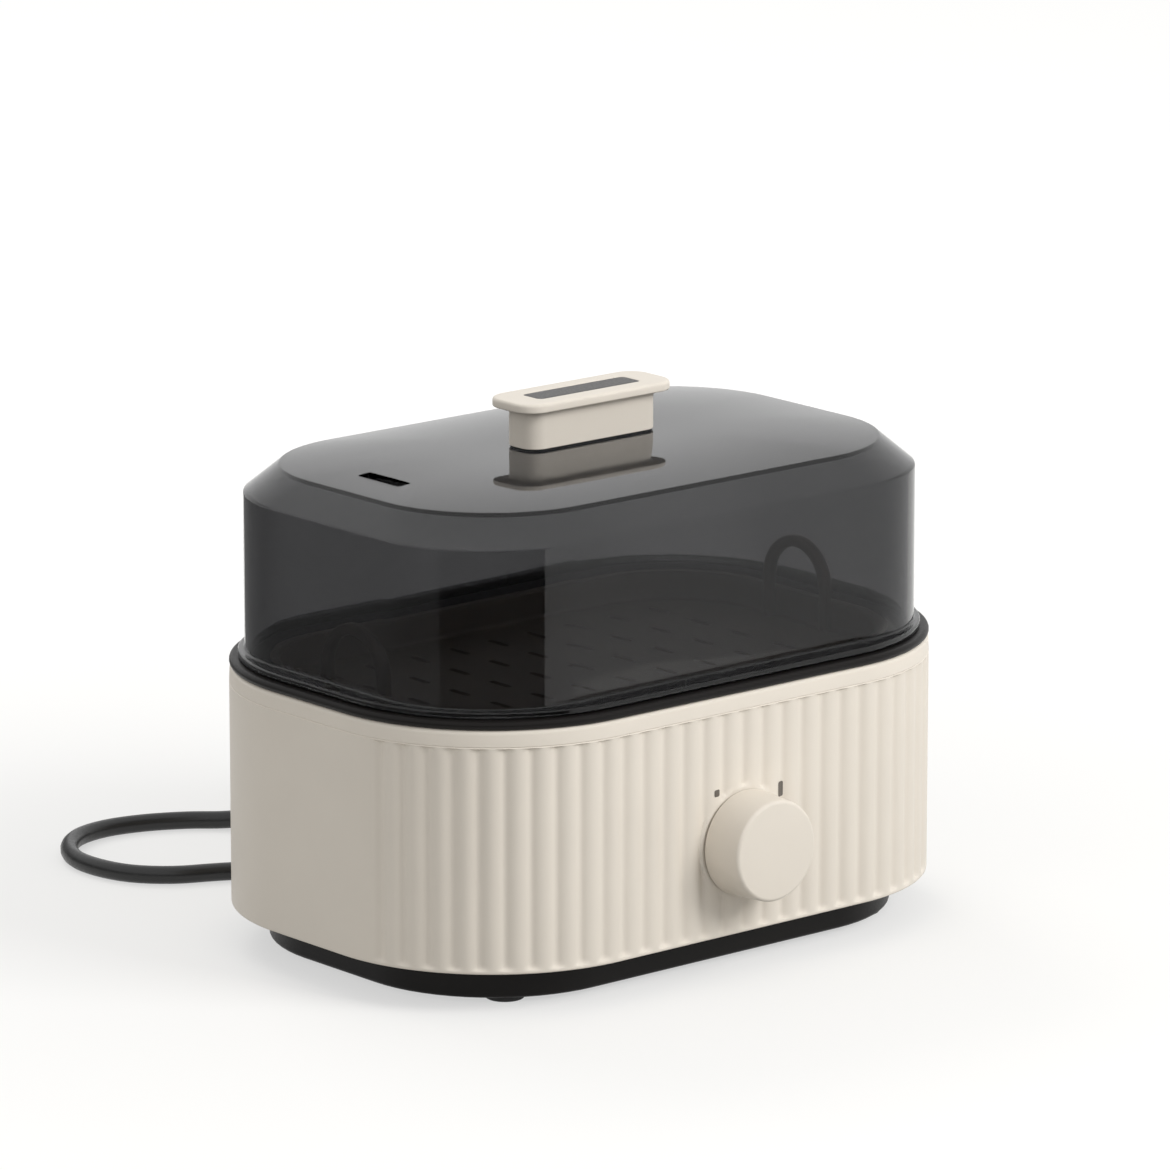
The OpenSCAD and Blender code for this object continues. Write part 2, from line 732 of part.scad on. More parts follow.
module base_pan() color("#1E1D1B") difference() {
    union() {
        difference() {
            union() {
                slab(casing_w, casing_d, casing_r, flange_inset, flange_z, flange_t);
                slab(pan_w, pan_d, pan_r, 0, foot_h, flange_z + flange_t - foot_h);
            }
            slab(pan_w, pan_d, pan_r, pan_wall, pan_floor, flange_z + flange_t);
        }
        for (x = [-1, 1])
            translate([x * clamp_screw_x, clamp_y, foot_h])
                cylinder(r = clamp_post_r, h = clamp_z - foot_h);
        translate([-saddle_w / 2, clamp_y - clamp_d / 2, foot_h])
            cube([saddle_w, clamp_d, exit_z - cord_r - foot_h]);
    }
    for (spot = base_boss_spots)
        translate([spot[0], spot[1], flange_z - over])
            cylinder(r = screw_r + fit_gap, h = flange_t + 2 * over);
    for (spot = foot_spots)
        translate([spot[0], spot[1], foot_h - over]) cylinder(r = foot_stem_r, h = pan_wall + 2 * over);
    for (x = [-1, 1])
        translate([x * clamp_screw_x, clamp_y, clamp_z - clamp_screw_len + clamp_t]) pilot(clamp_screw_len);
    for (k = [-3 : 3])
        translate([k * pan_vent_pitch, -pan_d / 4, foot_h - over])
            linear_extrude(pan_wall + 2 * over) slot_shape(pan_vent_len, pan_vent_w);
}

module base_screws() color("#2A2A2A")
    for (spot = base_boss_spots)
        translate([spot[0], spot[1], flange_z]) screw(base_screw_len, screw_head_r);

module rubber_feet() color("#151515")
    for (spot = foot_spots) translate([spot[0], spot[1], 0]) {
        cylinder(r = foot_r, h = foot_h);
        cylinder(r = foot_stem_r - fit_gap / 2, h = foot_h + foot_stem_h);
    }

module terminal_block() color("#F0EBE0") difference() {
    translate([-block_w / 2, block_y - block_d / 2, pan_floor]) cube([block_w, block_d, block_h]);
    for (x = [-1, 1])
        translate([x * block_gap, block_y, block_bore_z])
            bar_y(wire_r + fit_gap, -block_d / 2 - over, block_d / 2 + over);
    translate([0, block_y, pan_floor]) cylinder(r = screw_r + fit_gap, h = block_h + over);
}

module terminal_screw() color("silver") translate([0, block_y, pan_floor + block_h]) {
    translate([0, 0, fit_gap]) cylinder(r = screw_head_r, h = screw_head_h);
    translate([0, 0, fit_gap - block_h]) cylinder(r = screw_r, h = block_h);
}

module inner_lead() color("#161616") translate([0, 0, exit_z]) bar_y(cord_r, lead_end_y, lead_start_y);

module cord_clamp() color("#2B2B2B") difference() {
    translate([0, clamp_y, clamp_z + clamp_t / 2]) cube([clamp_w, clamp_d, clamp_t], center = true);
    for (x = [-1, 1])
        translate([x * clamp_screw_x, clamp_y, clamp_z - over])
            cylinder(r = screw_r + fit_gap, h = clamp_t + 2 * over);
}

module clamp_screws() color("silver")
    for (x = [-1, 1])
        translate([x * clamp_screw_x, clamp_y, clamp_z + clamp_t]) rotate([180, 0, 0])
            screw(clamp_screw_len, screw_head_r);

// Inner wires: from the lead to the block, on to the timer, and from the timer and the block to the element
module live_wire() color("#7A4A2A")
    tube([[-block_gap, block_y, block_bore_z],
          [-block_gap, block_y - wire_straight, block_bore_z],
          [-block_gap, block_y - 2 * wire_straight, block_bore_z],
          [-block_gap, timer_back_y + wire_straight, knob_z - wire_dip],
          [-block_gap, timer_back_y, knob_z - wire_dip]], wire_r, wire_sides);

module switched_wire() color("#222222")
    tube([[-block_gap, timer_back_y, knob_z],
          [-block_gap, timer_back_y + wire_straight, knob_z],
          [-tab_x, heater_d / 2 - wire_straight, heater_z - wire_dip],
          [-tab_x, heater_d / 2 - wire_dip / 2, heater_z],
          [-tab_x, heater_d / 2 - tab_t / 2 - fit_gap, heater_z]], wire_r, wire_sides);

module neutral_wire() color("#3A62A8")
    tube([[block_gap, block_y, block_bore_z],
          [block_gap, block_y - wire_straight, block_bore_z],
          [tab_x, heater_d / 2 - 2 * wire_straight, knob_z - wire_dip],
          [tab_x, heater_d / 2 - wire_straight, heater_z - wire_dip],
          [tab_x, heater_d / 2 - wire_dip / 2, heater_z],
          [tab_x, heater_d / 2 - tab_t / 2 - fit_gap, heater_z]], wire_r, wire_sides);

module relief_profile() {
    polygon([
        [0, -casing_wall - relief_flange_t], [relief_flange_r, -casing_wall - relief_flange_t],
        [relief_flange_r, -casing_wall - fit_gap], [relief_r, -casing_wall - fit_gap], [relief_r, 0],
        [relief_tip_r, relief_len], [0, relief_len]
    ]);
}

module strain_relief() color("#171717")
    translate([0, rear_y, exit_z]) rotate([-90, 0, 0]) rotate_extrude() relief_profile();

module cord_free() color("#161616") tube(route, cord_r, cord_sides);

module cord_coil() color("#161616") tube(coil_points, cord_r, coil_sides);

// The tie's outline round the stacked turns, in the plane through the coil's axis
module tie_outline(grow) {
    inner = coil_r - coil_step * turned_in(1.25) - cord_r - tie_slack;
    outer = coil_r - coil_step * turned_in(0.25) + cord_r;
    translate([inner - grow, coil_z - cord_r - grow])
        square([outer - inner + 2 * grow, coil_layer + cord_d + 2 * grow]);
}

module cord_tie() color("#2E2E2E") translate([coil_x, coil_y, 0]) rotate([90, 0, 0])
    translate([0, 0, -tie_w / 2]) linear_extrude(tie_w) difference() {
        tie_outline(lift_gap + tie_t);
        tie_outline(lift_gap);
    }

module plug_body() color("#191919") translate([plug_x, plug_y, plug_axis_z]) difference() {
    union() {
        rotate([0, 90, 0])
            cylinder(r1 = plug_boot_r + plug_boot_flare, r2 = plug_boot_r, h = plug_boot_len);
        translate([-plug_len, 0, 0]) rotate([0, 90, 0]) linear_extrude(plug_len)
            rounded(plug_h, plug_w, plug_h / 2 - plug_corner_flat);
    }
    for (y = [-1, 1])
        translate([-plug_len - over, y * pin_gap / 2, 0]) rotate([0, 90, 0])
            cylinder(r = pin_r + fit_gap / 2, h = pin_len / 2 + over);
}

module plug_pins() color("#C8A24A")
    for (y = [-1, 1])
        translate([plug_x - plug_len - pin_len, plug_y + y * pin_gap / 2, plug_axis_z]) rotate([0, 90, 0])
            cylinder(r = pin_r, h = pin_len * 1.5 - fit_gap);

module finger_loop() rotate([90, 0, 90]) linear_extrude(loop_t, center = true) difference() {
    union() {
        translate([0, loop_mid_z]) circle(loop_r);
        translate([-loop_r, tray_floor_z - tray_t / 2])
            square([loop_w, loop_mid_z - tray_floor_z + tray_t / 2]);
    }
    translate([0, loop_mid_z]) circle(loop_r - loop_band);
    translate([-loop_r + loop_band, tray_top]) square([loop_w - 2 * loop_band, loop_mid_z - tray_top]);
}

module tray_slots() {
    for (i = [-slot_cols : slot_cols], j = [-slot_rows : slot_rows])
        translate([i * slot_pitch_x, j * slot_pitch_y]) slot_shape(slot_len, slot_w);
}

module egg_tray() color("#24211F") {
    difference() {
        union() {
            slab(tray_w, tray_d, tray_r, 0, tray_rim_z, tray_t);
            slab(tray_wall_w, tray_wall_d, tray_wall_r, 0, tray_bottom_z, tray_top - tray_bottom_z);
        }
        slab(tray_wall_w, tray_wall_d, tray_wall_r, tray_t, tray_floor_z, tray_depth + over);
        translate([0, 0, tray_bottom_z - over]) linear_extrude(tray_t + 2 * over) tray_slots();
    }
    for (x = [-1, 1]) translate([x * loop_x, 0, 0]) finger_loop();
}

// The lid's top as one convex form: chamfer, then the crown's steps, then the flat that the handle stands on
module lid_top(shrink, drop) {
    crown_w = lid_top_w - crown_flat_w;
    crown_d = lid_top_d - crown_flat_d;
    crown_r = lid_top_r - crown_flat_r;
    hull() {
        slab(lid_w, lid_d, lid_r, shrink, chamfer_z - drop, sheet_t, $fn = hull_fn);
        slab(lid_top_w, lid_top_d, lid_top_r, shrink, lid_edge_z - drop - sheet_t, sheet_t, $fn = hull_fn);
        for (s = crown_steps)
            slab(lid_top_w - s[0] * crown_w, lid_top_d - s[0] * crown_d, lid_top_r - s[0] * crown_r, 0,
                lid_edge_z + s[1] * crown_h - drop - sheet_t, sheet_t, $fn = hull_fn);
        slab(crown_flat_w, crown_flat_d, crown_flat_r, 0, crown_z - drop - sheet_t, sheet_t, $fn = hull_fn);
    }
}

module lid_shell() color([0.16, 0.16, 0.17, 0.55]) {
    difference() {
        union() {
            slab(lid_w, lid_d, lid_r, 0, lid_z, lid_wall_h);
            slab(casing_w, casing_d, casing_r, lid_flange_in, lid_z, lid_flange_h);
        }
        slab(lid_w, lid_d, lid_r, lid_t, lid_z - over, lid_wall_h + 2 * over);
    }
    difference() {
        lid_top(0, 0);
        lid_top(lid_t, lid_t);
        slab(lid_w, lid_d, lid_r, lid_t, chamfer_z - lid_t - over, lid_t + over);
        translate([-vent_x, 0, lid_edge_z - 2 * lid_t])
            linear_extrude(crown_h + 4 * lid_t) slot_shape(vent_len, vent_w);
        for (x = [-1, 1])
            translate([x * handle_screw_gap / 2, 0, crown_z - lid_t - over])
                cylinder(r = screw_r + fit_gap, h = lid_t + 2 * over);
    }
}

module handle_gasket() color("#1B1B1B") difference() {
    slab(stem_w, stem_d, stem_r, gasket_in, crown_z, gasket_t);
    for (x = [-1, 1])
        translate([x * handle_screw_gap / 2, 0, crown_z - over])
            cylinder(r = screw_r + fit_gap, h = gasket_t + 2 * over);
}

module lid_handle() color("#E1D7CB") difference() {
    union() {
        slab(stem_w, stem_d, stem_r, 0, handle_z, stem_h);
        slab(cap_w, cap_d, cap_r, 0, cap_z, cap_h);
    }
    slab(inlay_w, inlay_d, inlay_d / 2 - fit_gap, 0, handle_top - inlay_t - fit_gap, inlay_t + over);
    for (x = [-1, 1])
        translate([x * handle_screw_gap / 2, 0, handle_z]) pilot(handle_screw_bite);
}

module handle_inlay() color("#3A3836")
    slab(inlay_w, inlay_d, inlay_d / 2 - fit_gap, fit_gap, handle_top - inlay_t, inlay_t - fit_gap);

module handle_screws() color("silver")
    for (x = [-1, 1])
        translate([x * handle_screw_gap / 2, 0, crown_z - lid_t]) screw(handle_screw_len, screw_head_r);

outer_casing();
trim_ring();
dish_seal();
heating_dish();
dish_screws();
heating_element();
element_terminals();
thermostat();
sensor_bracket();
bracket_screws();
thermal_fuse();
fuse_block();
timer_housing();
panel_nut();
control_spindle();
control_knob();
base_pan();
base_screws();
rubber_feet();
terminal_block();
terminal_screw();
inner_lead();
cord_clamp();
clamp_screws();
live_wire();
switched_wire();
neutral_wire();
strain_relief();
cord_free();
cord_coil();
cord_tie();
plug_body();
plug_pins();
egg_tray();
lid_shell();
lid_handle();
handle_inlay();
handle_gasket();
handle_screws();
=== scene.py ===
"""Looks of an electric egg cooker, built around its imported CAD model."""

import math

import bmesh
import bpy
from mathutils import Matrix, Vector


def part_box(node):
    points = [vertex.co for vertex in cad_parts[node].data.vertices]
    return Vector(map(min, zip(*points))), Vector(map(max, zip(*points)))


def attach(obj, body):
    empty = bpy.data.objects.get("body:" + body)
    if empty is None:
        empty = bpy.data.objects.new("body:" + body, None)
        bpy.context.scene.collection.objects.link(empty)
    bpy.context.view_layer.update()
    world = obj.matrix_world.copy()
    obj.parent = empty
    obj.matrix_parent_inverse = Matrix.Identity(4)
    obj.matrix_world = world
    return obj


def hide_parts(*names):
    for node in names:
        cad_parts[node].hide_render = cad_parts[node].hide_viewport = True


bl_info = {
    "name": "Egg cooker",
    "version": (1, 0, 0),
    "blender": (4, 5, 0),
    "location": "View3D > Sidebar > Egg cooker",
    "description": "Builds the looks of an egg cooker around its CAD model",
    "category": "Object",
}

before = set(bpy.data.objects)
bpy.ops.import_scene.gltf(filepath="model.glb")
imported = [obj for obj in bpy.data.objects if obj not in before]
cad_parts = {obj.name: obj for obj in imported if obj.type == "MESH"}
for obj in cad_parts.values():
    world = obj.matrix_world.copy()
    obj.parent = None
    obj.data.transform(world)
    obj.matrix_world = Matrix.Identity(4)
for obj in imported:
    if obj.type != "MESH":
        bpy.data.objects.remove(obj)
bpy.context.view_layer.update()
MM = 0.001


# Sizes and colours


def linear(hex_colour):
    """An sRGB hex colour as linear red, green and blue."""
    shares = [int(hex_colour[i : i + 2], 16) / 255 for i in (1, 3, 5)]
    return [s / 12.92 if s <= 0.04045 else ((s + 0.055) / 1.055) ** 2.4 for s in shares]


def length(name, description, millimetres):
    """A size that a user may change; it is kept in metres."""
    return bpy.props.FloatProperty(
        name=name, description=description, default=millimetres * MM, unit="LENGTH", precision=5
    )


def colour(name, description, hex_colour):
    """A colour that a user may change."""
    default = linear(hex_colour)
    return bpy.props.FloatVectorProperty(
        name=name, description=description, default=default, subtype="COLOR", min=0.0, max=1.0
    )


def cad_box(node):
    """A CAD node's lowest and highest corners in millimetres."""
    low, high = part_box(node)
    return low / MM, high / MM


CASING_LOW, CASING_HIGH = cad_box("outer_casing")
RING_HIGH = cad_box("trim_ring")[1]
LID_LOW, LID_HIGH = cad_box("lid_shell")
HANDLE_LOW, HANDLE_HIGH = cad_box("lid_handle")
TRAY_LOW, TRAY_HIGH = cad_box("egg_tray")
DISH_LOW, DISH_HIGH = cad_box("heating_dish")
PAN_LOW, PAN_HIGH = cad_box("base_pan")
KNOB_LOW, KNOB_HIGH = cad_box("control_knob")
RELIEF_LOW, RELIEF_HIGH = cad_box("strain_relief")
TIE_LOW, TIE_HIGH = cad_box("cord_tie")
PLUG_LOW, PLUG_HIGH = cad_box("plug_body")
PIN_LOW, PIN_HIGH = cad_box("plug_pins")
CASING_W, CASING_D = CASING_HIGH.x - CASING_LOW.x, -2 * CASING_LOW.y

WHITE = (1, 1, 1, 1)
# Edges that turn by more than this many degrees are drawn sharp
SHARP = 38
# Width of the faint clouds of colour in a moulding or a casting, and of the flow in a clear one, in mm
CLOUD, FLOW = 18, 30
# Per metre: the lid's wall, 2.4 mm thick, lets about a quarter of the light through
SMOKE_DENSITY = 660.0


class CookerSizes(bpy.types.PropertyGroup):
    """Sizes of the cooker's visible forms."""

    casing_radius: length("Casing corner radius", "Corner radius of the casing, seen from above", 65)
    casing_wall: length("Casing wall", "Thickness of the casing's wall", 3)
    flute_pitch: length("Flute pitch", "Distance between neighbouring flutes", 8.75)
    flute_depth: length("Flute depth", "Depth of the valleys between the ribs", 1.1)
    rib_width: length("Rib width", "Width of a rib's round face", 7.6)
    flute_reach: length("Flute reach", "How far the flutes run each way from the front's middle", 144.375)
    plain_band: length("Plain band", "Height of the plain band above the flutes", 6)
    plain_lip: length("Plain lip", "Height of the plain lip below the flutes", 1)
    pad_radius: length("Pad radius", "Radius of the smooth pad behind the knob", 19)
    ledge_ends: length("Ring ledge, ends", "Width of the ring's ledge at the two ends", 17.5)
    ledge_sides: length("Ring ledge, sides", "Width of the ring's ledge at the front and back", 19)
    opening_radius: length("Opening radius", "Corner radius of the ring's opening", 38)
    lid_ends: length("Lid inset, ends", "How far the lid's wall stands in at the two ends", 9)
    lid_sides: length("Lid inset, sides", "How far the lid's wall stands in at the front and back", 9.6)
    flange_in: length("Flange inset", "How far the lid's foot flange stands in from the casing", 3)
    flange_height: length("Flange height", "Height of the flange at the lid's foot", 2.2)
    lid_radius: length("Lid corner radius", "Corner radius of the lid's wall", 45.8)
    lid_wall: length("Lid wall", "Thickness of the lid", 2.4)
    chamfer_low: length("Chamfer start", "Height of the lid's wall below its chamfer", 56.2)
    chamfer_rise: length("Chamfer height", "Height of the lid's chamfer", 9.8)
    chamfer_in: length("Chamfer depth", "How far the chamfer leans in", 9)
    top_corner_in: length("Chamfer corner", "How much smaller the corner is at the chamfer's top", 1)
    vent_length: length("Vent length", "Length of the lid's steam vent", 22)
    vent_width: length("Vent width", "Width of the lid's steam vent", 5.4)
    vent_place: length("Vent place", "Distance of the vent from the lid's middle", 86)
    stem_width: length("Stem width", "Width of the handle's stem", 57)
    stem_depth: length("Stem depth", "Depth of the handle's stem", 16)
    cap_height: length("Cap height", "Height of the handle's cap", 3.2)
    inlay_width: length("Inlay width", "Width of the handle's inlay", 45)
    inlay_depth: length("Inlay depth", "Depth of the handle's inlay", 10)
    tray_wall: length("Tray wall", "Thickness of the egg tray", 2)
    tray_depth: length("Tray depth", "Depth of the egg tray, from its rim to its floor", 10)
    slot_length: length("Slot length", "Length of a slot in the tray's floor", 11)
    slot_width: length("Slot width", "Width of a slot in the tray's floor", 2.6)
    slot_pitch_x: length("Slot pitch across", "Distance between slots along the tray", 18)
    slot_pitch_y: length("Slot pitch in depth", "Distance between rows of slots", 22)
    loop_radius: length("Loop radius", "Outer radius of the tray's finger loops", 16.5)
    loop_band: length("Loop band", "Thickness of the finger loops", 4)
    loop_place: length("Loop place", "Distance of the finger loops from the tray's middle", 97.7)
    knob_edge: length("Knob edge", "Radius of the knob's front edge", 1.4)
    foot_radius: length("Foot radius", "Radius of a rubber foot", 7)
    cord_diameter: length("Lead diameter", "Diameter of the mains lead", 6.4)


class CookerColours(bpy.types.PropertyGroup):
    """Colours of the cooker's materials."""

    cream: colour("Cream", "Casing, knob and handle", "#DDD5C9")
    ring_black: colour("Ring black", "Trim ring and base", "#181615")
    tray_brown: colour("Tray", "Egg tray", "#6E6052")
    smoke: colour("Smoke", "Tint of the clear lid", "#59595F")
    rubber: colour("Rubber", "Lead, feet and gasket", "#121212")
    silicone: colour("Silicone", "Seal under the ring", "#8E8A84")
    coating: colour("Coating", "Non-stick coating of the dish", "#3B3C3F")
    steel: colour("Steel", "Heater and bracket", "#A7A6A4")
    zinc: colour("Zinc", "Plated screws and tabs", "#C8CACC")
    brass: colour("Brass", "Pins of the plug", "#D2B36B")
    ceramic: colour("Ceramic", "Timer, thermostat and blocks", "#E6E0D4")
    brown_wire: colour("Brown wire", "Live wires", "#6B3A20")
    blue_wire: colour("Blue wire", "Neutral wire", "#2F56A0")
    inlay_grey: colour("Inlay grey", "Inlay of the handle", "#2B2927")
    mark_grey: colour("Mark grey", "Printed marks by the knob", "#615B54")
    floor: colour("Floor", "Floor of the stage", "#A3A29F")


def size(name):
    """A size in millimetres."""
    return getattr(bpy.context.scene.cooker_sizes, name) / MM


def paint(name):
    """A colour with full opacity."""
    return [*getattr(bpy.context.scene.cooker_colours, name), 1.0]


# Materials


def add_node(tree, kind, settings=(), links=()):
    """A node of that kind with its settings; a link's value is a socket or a plain number."""
    node = tree.nodes.new(kind)
    for key, value in dict(settings).items():
        setattr(node, key, value)
    for key, value in dict(links).items():
        if isinstance(value, bpy.types.NodeSocket):
            tree.links.new(value, node.inputs[key])
        else:
            node.inputs[key].default_value = value
    return node


def blank_material(name):
    """A material with an empty node tree, or None where it exists."""
    if name in bpy.data.materials:
        return None
    material = bpy.data.materials.new(name)
    material.use_nodes = True
    material.node_tree.nodes.clear()
    return material


def finish(name, base, rough, grain, depth, mottle, spread, **shader):
    """A moulded, cast or plated finish: mottled colour, uneven gloss and a fine grain.

    grain is the grain's width and depth its height, both in mm; mottle and spread are the shares by which
    colour and roughness vary; shader holds the remaining constants. The real grain is finer than a render
    of the whole cooker shows, so it is drawn wider."""
    material = blank_material(name)
    if material is None:
        return bpy.data.materials[name]
    tree = material.node_tree
    place = add_node(tree, "ShaderNodeTexCoord").outputs["Object"]
    parts = {"Vector": place, "Scale": 1 / (CLOUD * MM), "Detail": 3.0}
    cloud = add_node(tree, "ShaderNodeTexNoise", links=parts).outputs["Fac"]
    parts = {"Vector": place, "Scale": 1 / (grain * MM), "Detail": 2.0}
    grit = add_node(tree, "ShaderNodeTexNoise", links=parts).outputs["Fac"]
    dark = [channel * (1 - mottle) for channel in base[:3]] + [1.0]
    light = [min(channel * (1 + mottle), 1.0) for channel in base[:3]] + [1.0]
    # Sockets 6 and 7 of a Mix node are its two colours, and its third result is the mixed colour
    parts = {"Factor": cloud, 6: dark, 7: light}
    tint = add_node(tree, "ShaderNodeMix", {"data_type": "RGBA"}, parts).outputs[2]
    parts = {
        "Value": grit,
        "From Min": 0.3,
        "From Max": 0.7,
        "To Min": rough - spread,
        "To Max": rough + spread,
    }
    gloss = add_node(tree, "ShaderNodeMapRange", links=parts).outputs["Result"]
    parts = {"Height": grit, "Strength": 0.6, "Distance": depth * MM}
    bump = add_node(tree, "ShaderNodeBump", links=parts).outputs["Normal"]
    parts = {"Base Color": tint, "Roughness": gloss, "Normal": bump, **shader}
    surface = add_node(tree, "ShaderNodeBsdfPrincipled", links=parts)
    add_node(tree, "ShaderNodeOutputMaterial", links={"Surface": surface.outputs["BSDF"]})
    return material


def cream_polypropylene():
    """Moulded polypropylene, spark-eroded tool: a soft, even satin with a faint sheen on its edges."""
    return finish("cream_polypropylene", paint("cream"), 0.46, 0.7, 0.012, 0.025, 0.05, IOR=1.49)


def black_polypropylene():
    """Moulded black polypropylene, smoother tool: a darker satin that catches a line of light."""
    dull = {"Specular IOR Level": 0.15}
    return finish("black_polypropylene", paint("ring_black"), 0.4, 0.7, 0.008, 0.08, 0.06, **dull)


def tray_polypropylene():
    """Moulded brown polypropylene: an even satin, so that the dark slots stand out in it."""
    return finish("tray_polypropylene", paint("tray_brown"), 0.38, 0.8, 0.003, 0.08, 0.05, IOR=1.5)


def cord_pvc():
    """Extruded soft PVC sheath: dull black with a broad, weak highlight."""
    return finish("cord_pvc", paint("rubber"), 0.36, 0.9, 0.008, 0.1, 0.08, IOR=1.54)


def moulded_rubber():
    """Moulded rubber of the feet, boot and gasket: matt black with a dusty grain."""
    return finish("moulded_rubber", paint("rubber"), 0.68, 0.9, 0.02, 0.12, 0.08, IOR=1.52)


def smoked_polycarbonate():
    """Polished smoked polycarbonate: clear and mirror-like, darker where its wall is seen edge on."""
    material = blank_material("smoked_polycarbonate")
    if material is None:
        return bpy.data.materials["smoked_polycarbonate"]
    tree = material.node_tree
    place = add_node(tree, "ShaderNodeTexCoord").outputs["Object"]
    parts = {"Vector": place, "Scale": 1 / (FLOW * MM), "Detail": 1.0}
    flow = add_node(tree, "ShaderNodeTexNoise", links=parts).outputs["Fac"]
    parts = {"Value": flow, "To Min": 0.015, "To Max": 0.045}
    gloss = add_node(tree, "ShaderNodeMapRange", links=parts).outputs["Result"]
    parts = {"Base Color": WHITE, "Roughness": gloss, "IOR": 1.45, "Transmission Weight": 1.0}
    surface = add_node(tree, "ShaderNodeBsdfPrincipled", links=parts)
    parts = {"Color": paint("smoke"), "Density": SMOKE_DENSITY}
    body = add_node(tree, "ShaderNodeVolumeAbsorption", links=parts)
    parts = {"Surface": surface.outputs["BSDF"], "Volume": body.outputs["Volume"]}
    add_node(tree, "ShaderNodeOutputMaterial", links=parts)
    return material


def grey_silicone():
    """Cut silicone sheet: matt and faintly cloudy."""
    return finish("grey_silicone", paint("silicone"), 0.6, 0.9, 0.01, 0.05, 0.06, IOR=1.42)


def coated_aluminium():
    """Pressed aluminium under a sprayed non-stick coat: dark grey, fine speckle, soft gloss."""
    return finish("coated_aluminium", paint("coating"), 0.38, 0.6, 0.02, 0.12, 0.08, IOR=1.4)


def heater_steel():
    """Drawn steel sheath of the heater: dull metal with heat-browned cloudiness."""
    return finish("heater_steel", paint("steel"), 0.42, 0.8, 0.01, 0.14, 0.1, Metallic=1.0)


def zinc_plate():
    """Zinc-plated steel: bright, slightly uneven metal."""
    return finish("zinc_plate", paint("zinc"), 0.28, 0.8, 0.006, 0.06, 0.08, Metallic=1.0)


def plated_brass():
    """Drawn and polished brass of the plug's pins."""
    return finish("plated_brass", paint("brass"), 0.2, 0.8, 0.004, 0.06, 0.06, Metallic=1.0)


def fired_ceramic():
    """Fired steatite and hard moulding powder: pale, smooth, a little glossy."""
    return finish("fired_ceramic", paint("ceramic"), 0.35, 0.9, 0.008, 0.04, 0.06, IOR=1.55)


def brown_pvc():
    """Brown sheath of a heat-proof wire."""
    return finish("brown_pvc", paint("brown_wire"), 0.45, 0.8, 0.008, 0.08, 0.06, IOR=1.52)


def blue_pvc():
    """Blue sheath of a heat-proof wire."""
    return finish("blue_pvc", paint("blue_wire"), 0.45, 0.8, 0.008, 0.08, 0.06, IOR=1.52)


def inlay_acrylic():
    """Moulded acrylic inlay of the handle: dark, smooth and flat."""
    return finish("inlay_acrylic", paint("inlay_grey"), 0.4, 0.6, 0.004, 0.08, 0.05, IOR=1.49)


def pad_ink():
    """Pad-printed ink: grey, thin and matt."""
    return finish("pad_ink", paint("mark_grey"), 0.55, 0.6, 0.004, 0.1, 0.05, IOR=1.5)


# Shapes, in millimetres


def outline(width, depth, radius, z, steps=14):
    """A rounded rectangle's points at one height, anticlockwise from the front side's right end."""
    points = []
    corners = ((1, -1), (1, 1), (-1, 1), (-1, -1))
    for turn, (x, y) in enumerate(corners):
        middle_x, middle_y = x * (width / 2 - radius), y * (depth / 2 - radius)
        for i in range(steps + 1):
            a = math.radians(90 * (turn + i / steps) - 90)
            points.append((middle_x + radius * math.cos(a), middle_y + radius * math.sin(a), z))
    return points


def carried(form, profile, way=1, steps=14, least=0):
    """Rings of an (out, up) profile carried round a form, which is a width, a depth and a corner radius.

    way is 1 where the profile counts outwards and -1 where inwards; least is the smallest corner radius."""
    width, depth, radius = form
    rings = []
    for out, z in profile:
        grow = way * out
        corner = max(radius + grow, least)
        rings.append(outline(width + 2 * grow, depth + 2 * grow, corner, z, steps))
    return rings


def softened(corners, closed=False, steps=5):
    """A profile of (out, up, radius) corners with each corner turned into an arc of that radius."""
    points = []
    count = len(corners)
    for i, (out, up, radius) in enumerate(corners):
        here = Vector((out, up))
        if radius == 0 or (not closed and i in (0, count - 1)):
            points.append(tuple(here))
            continue
        before = (Vector(corners[i - 1][:2]) - here).normalized()
        after = (Vector(corners[(i + 1) % count][:2]) - here).normalized()
        half = before.angle(after) / 2
        centre = here + (before + after).normalized() * (radius / math.sin(half))
        first = here + before * (radius / math.tan(half)) - centre
        last = here + after * (radius / math.tan(half)) - centre
        sweep = first.angle_signed(last)
        for k in range(steps + 1):
            a = -sweep * k / steps
            c, s = math.cos(a), math.sin(a)
            points.append((centre.x + first.x * c - first.y * s, centre.y + first.x * s + first.y * c))
    return points


def lathe_rings(profile, centre, axis="Z", sides=48):
    """Rings of a (radius, height) profile turned about an axis through centre."""
    rings = []
    for radius, height in profile:
        ring = []
        for k in range(sides):
            a = 2 * math.pi * k / sides
            u, v = radius * math.cos(a), radius * math.sin(a)
            offset = {"X": (height, u, v), "Y": (u, height, v), "Z": (u, v, height)}[axis]
            ring.append(tuple(c + o for c, o in zip(centre, offset)))
        rings.append(ring)
    return rings


def sweep_rings(path, section, up):
    """Rings of a flat section carried along a path; its second axis lies nearest to up."""
    rings = []
    for i, point in enumerate(path):
        before, after = Vector(path[max(i - 1, 0)]), Vector(path[min(i + 1, len(path) - 1)])
        heading = (after - before).normalized()
        side = heading.cross(Vector(up)).normalized()
        top = side.cross(heading).normalized()
        rings.append([tuple(Vector(point) + side * u + top * v) for u, v in section])
    return rings


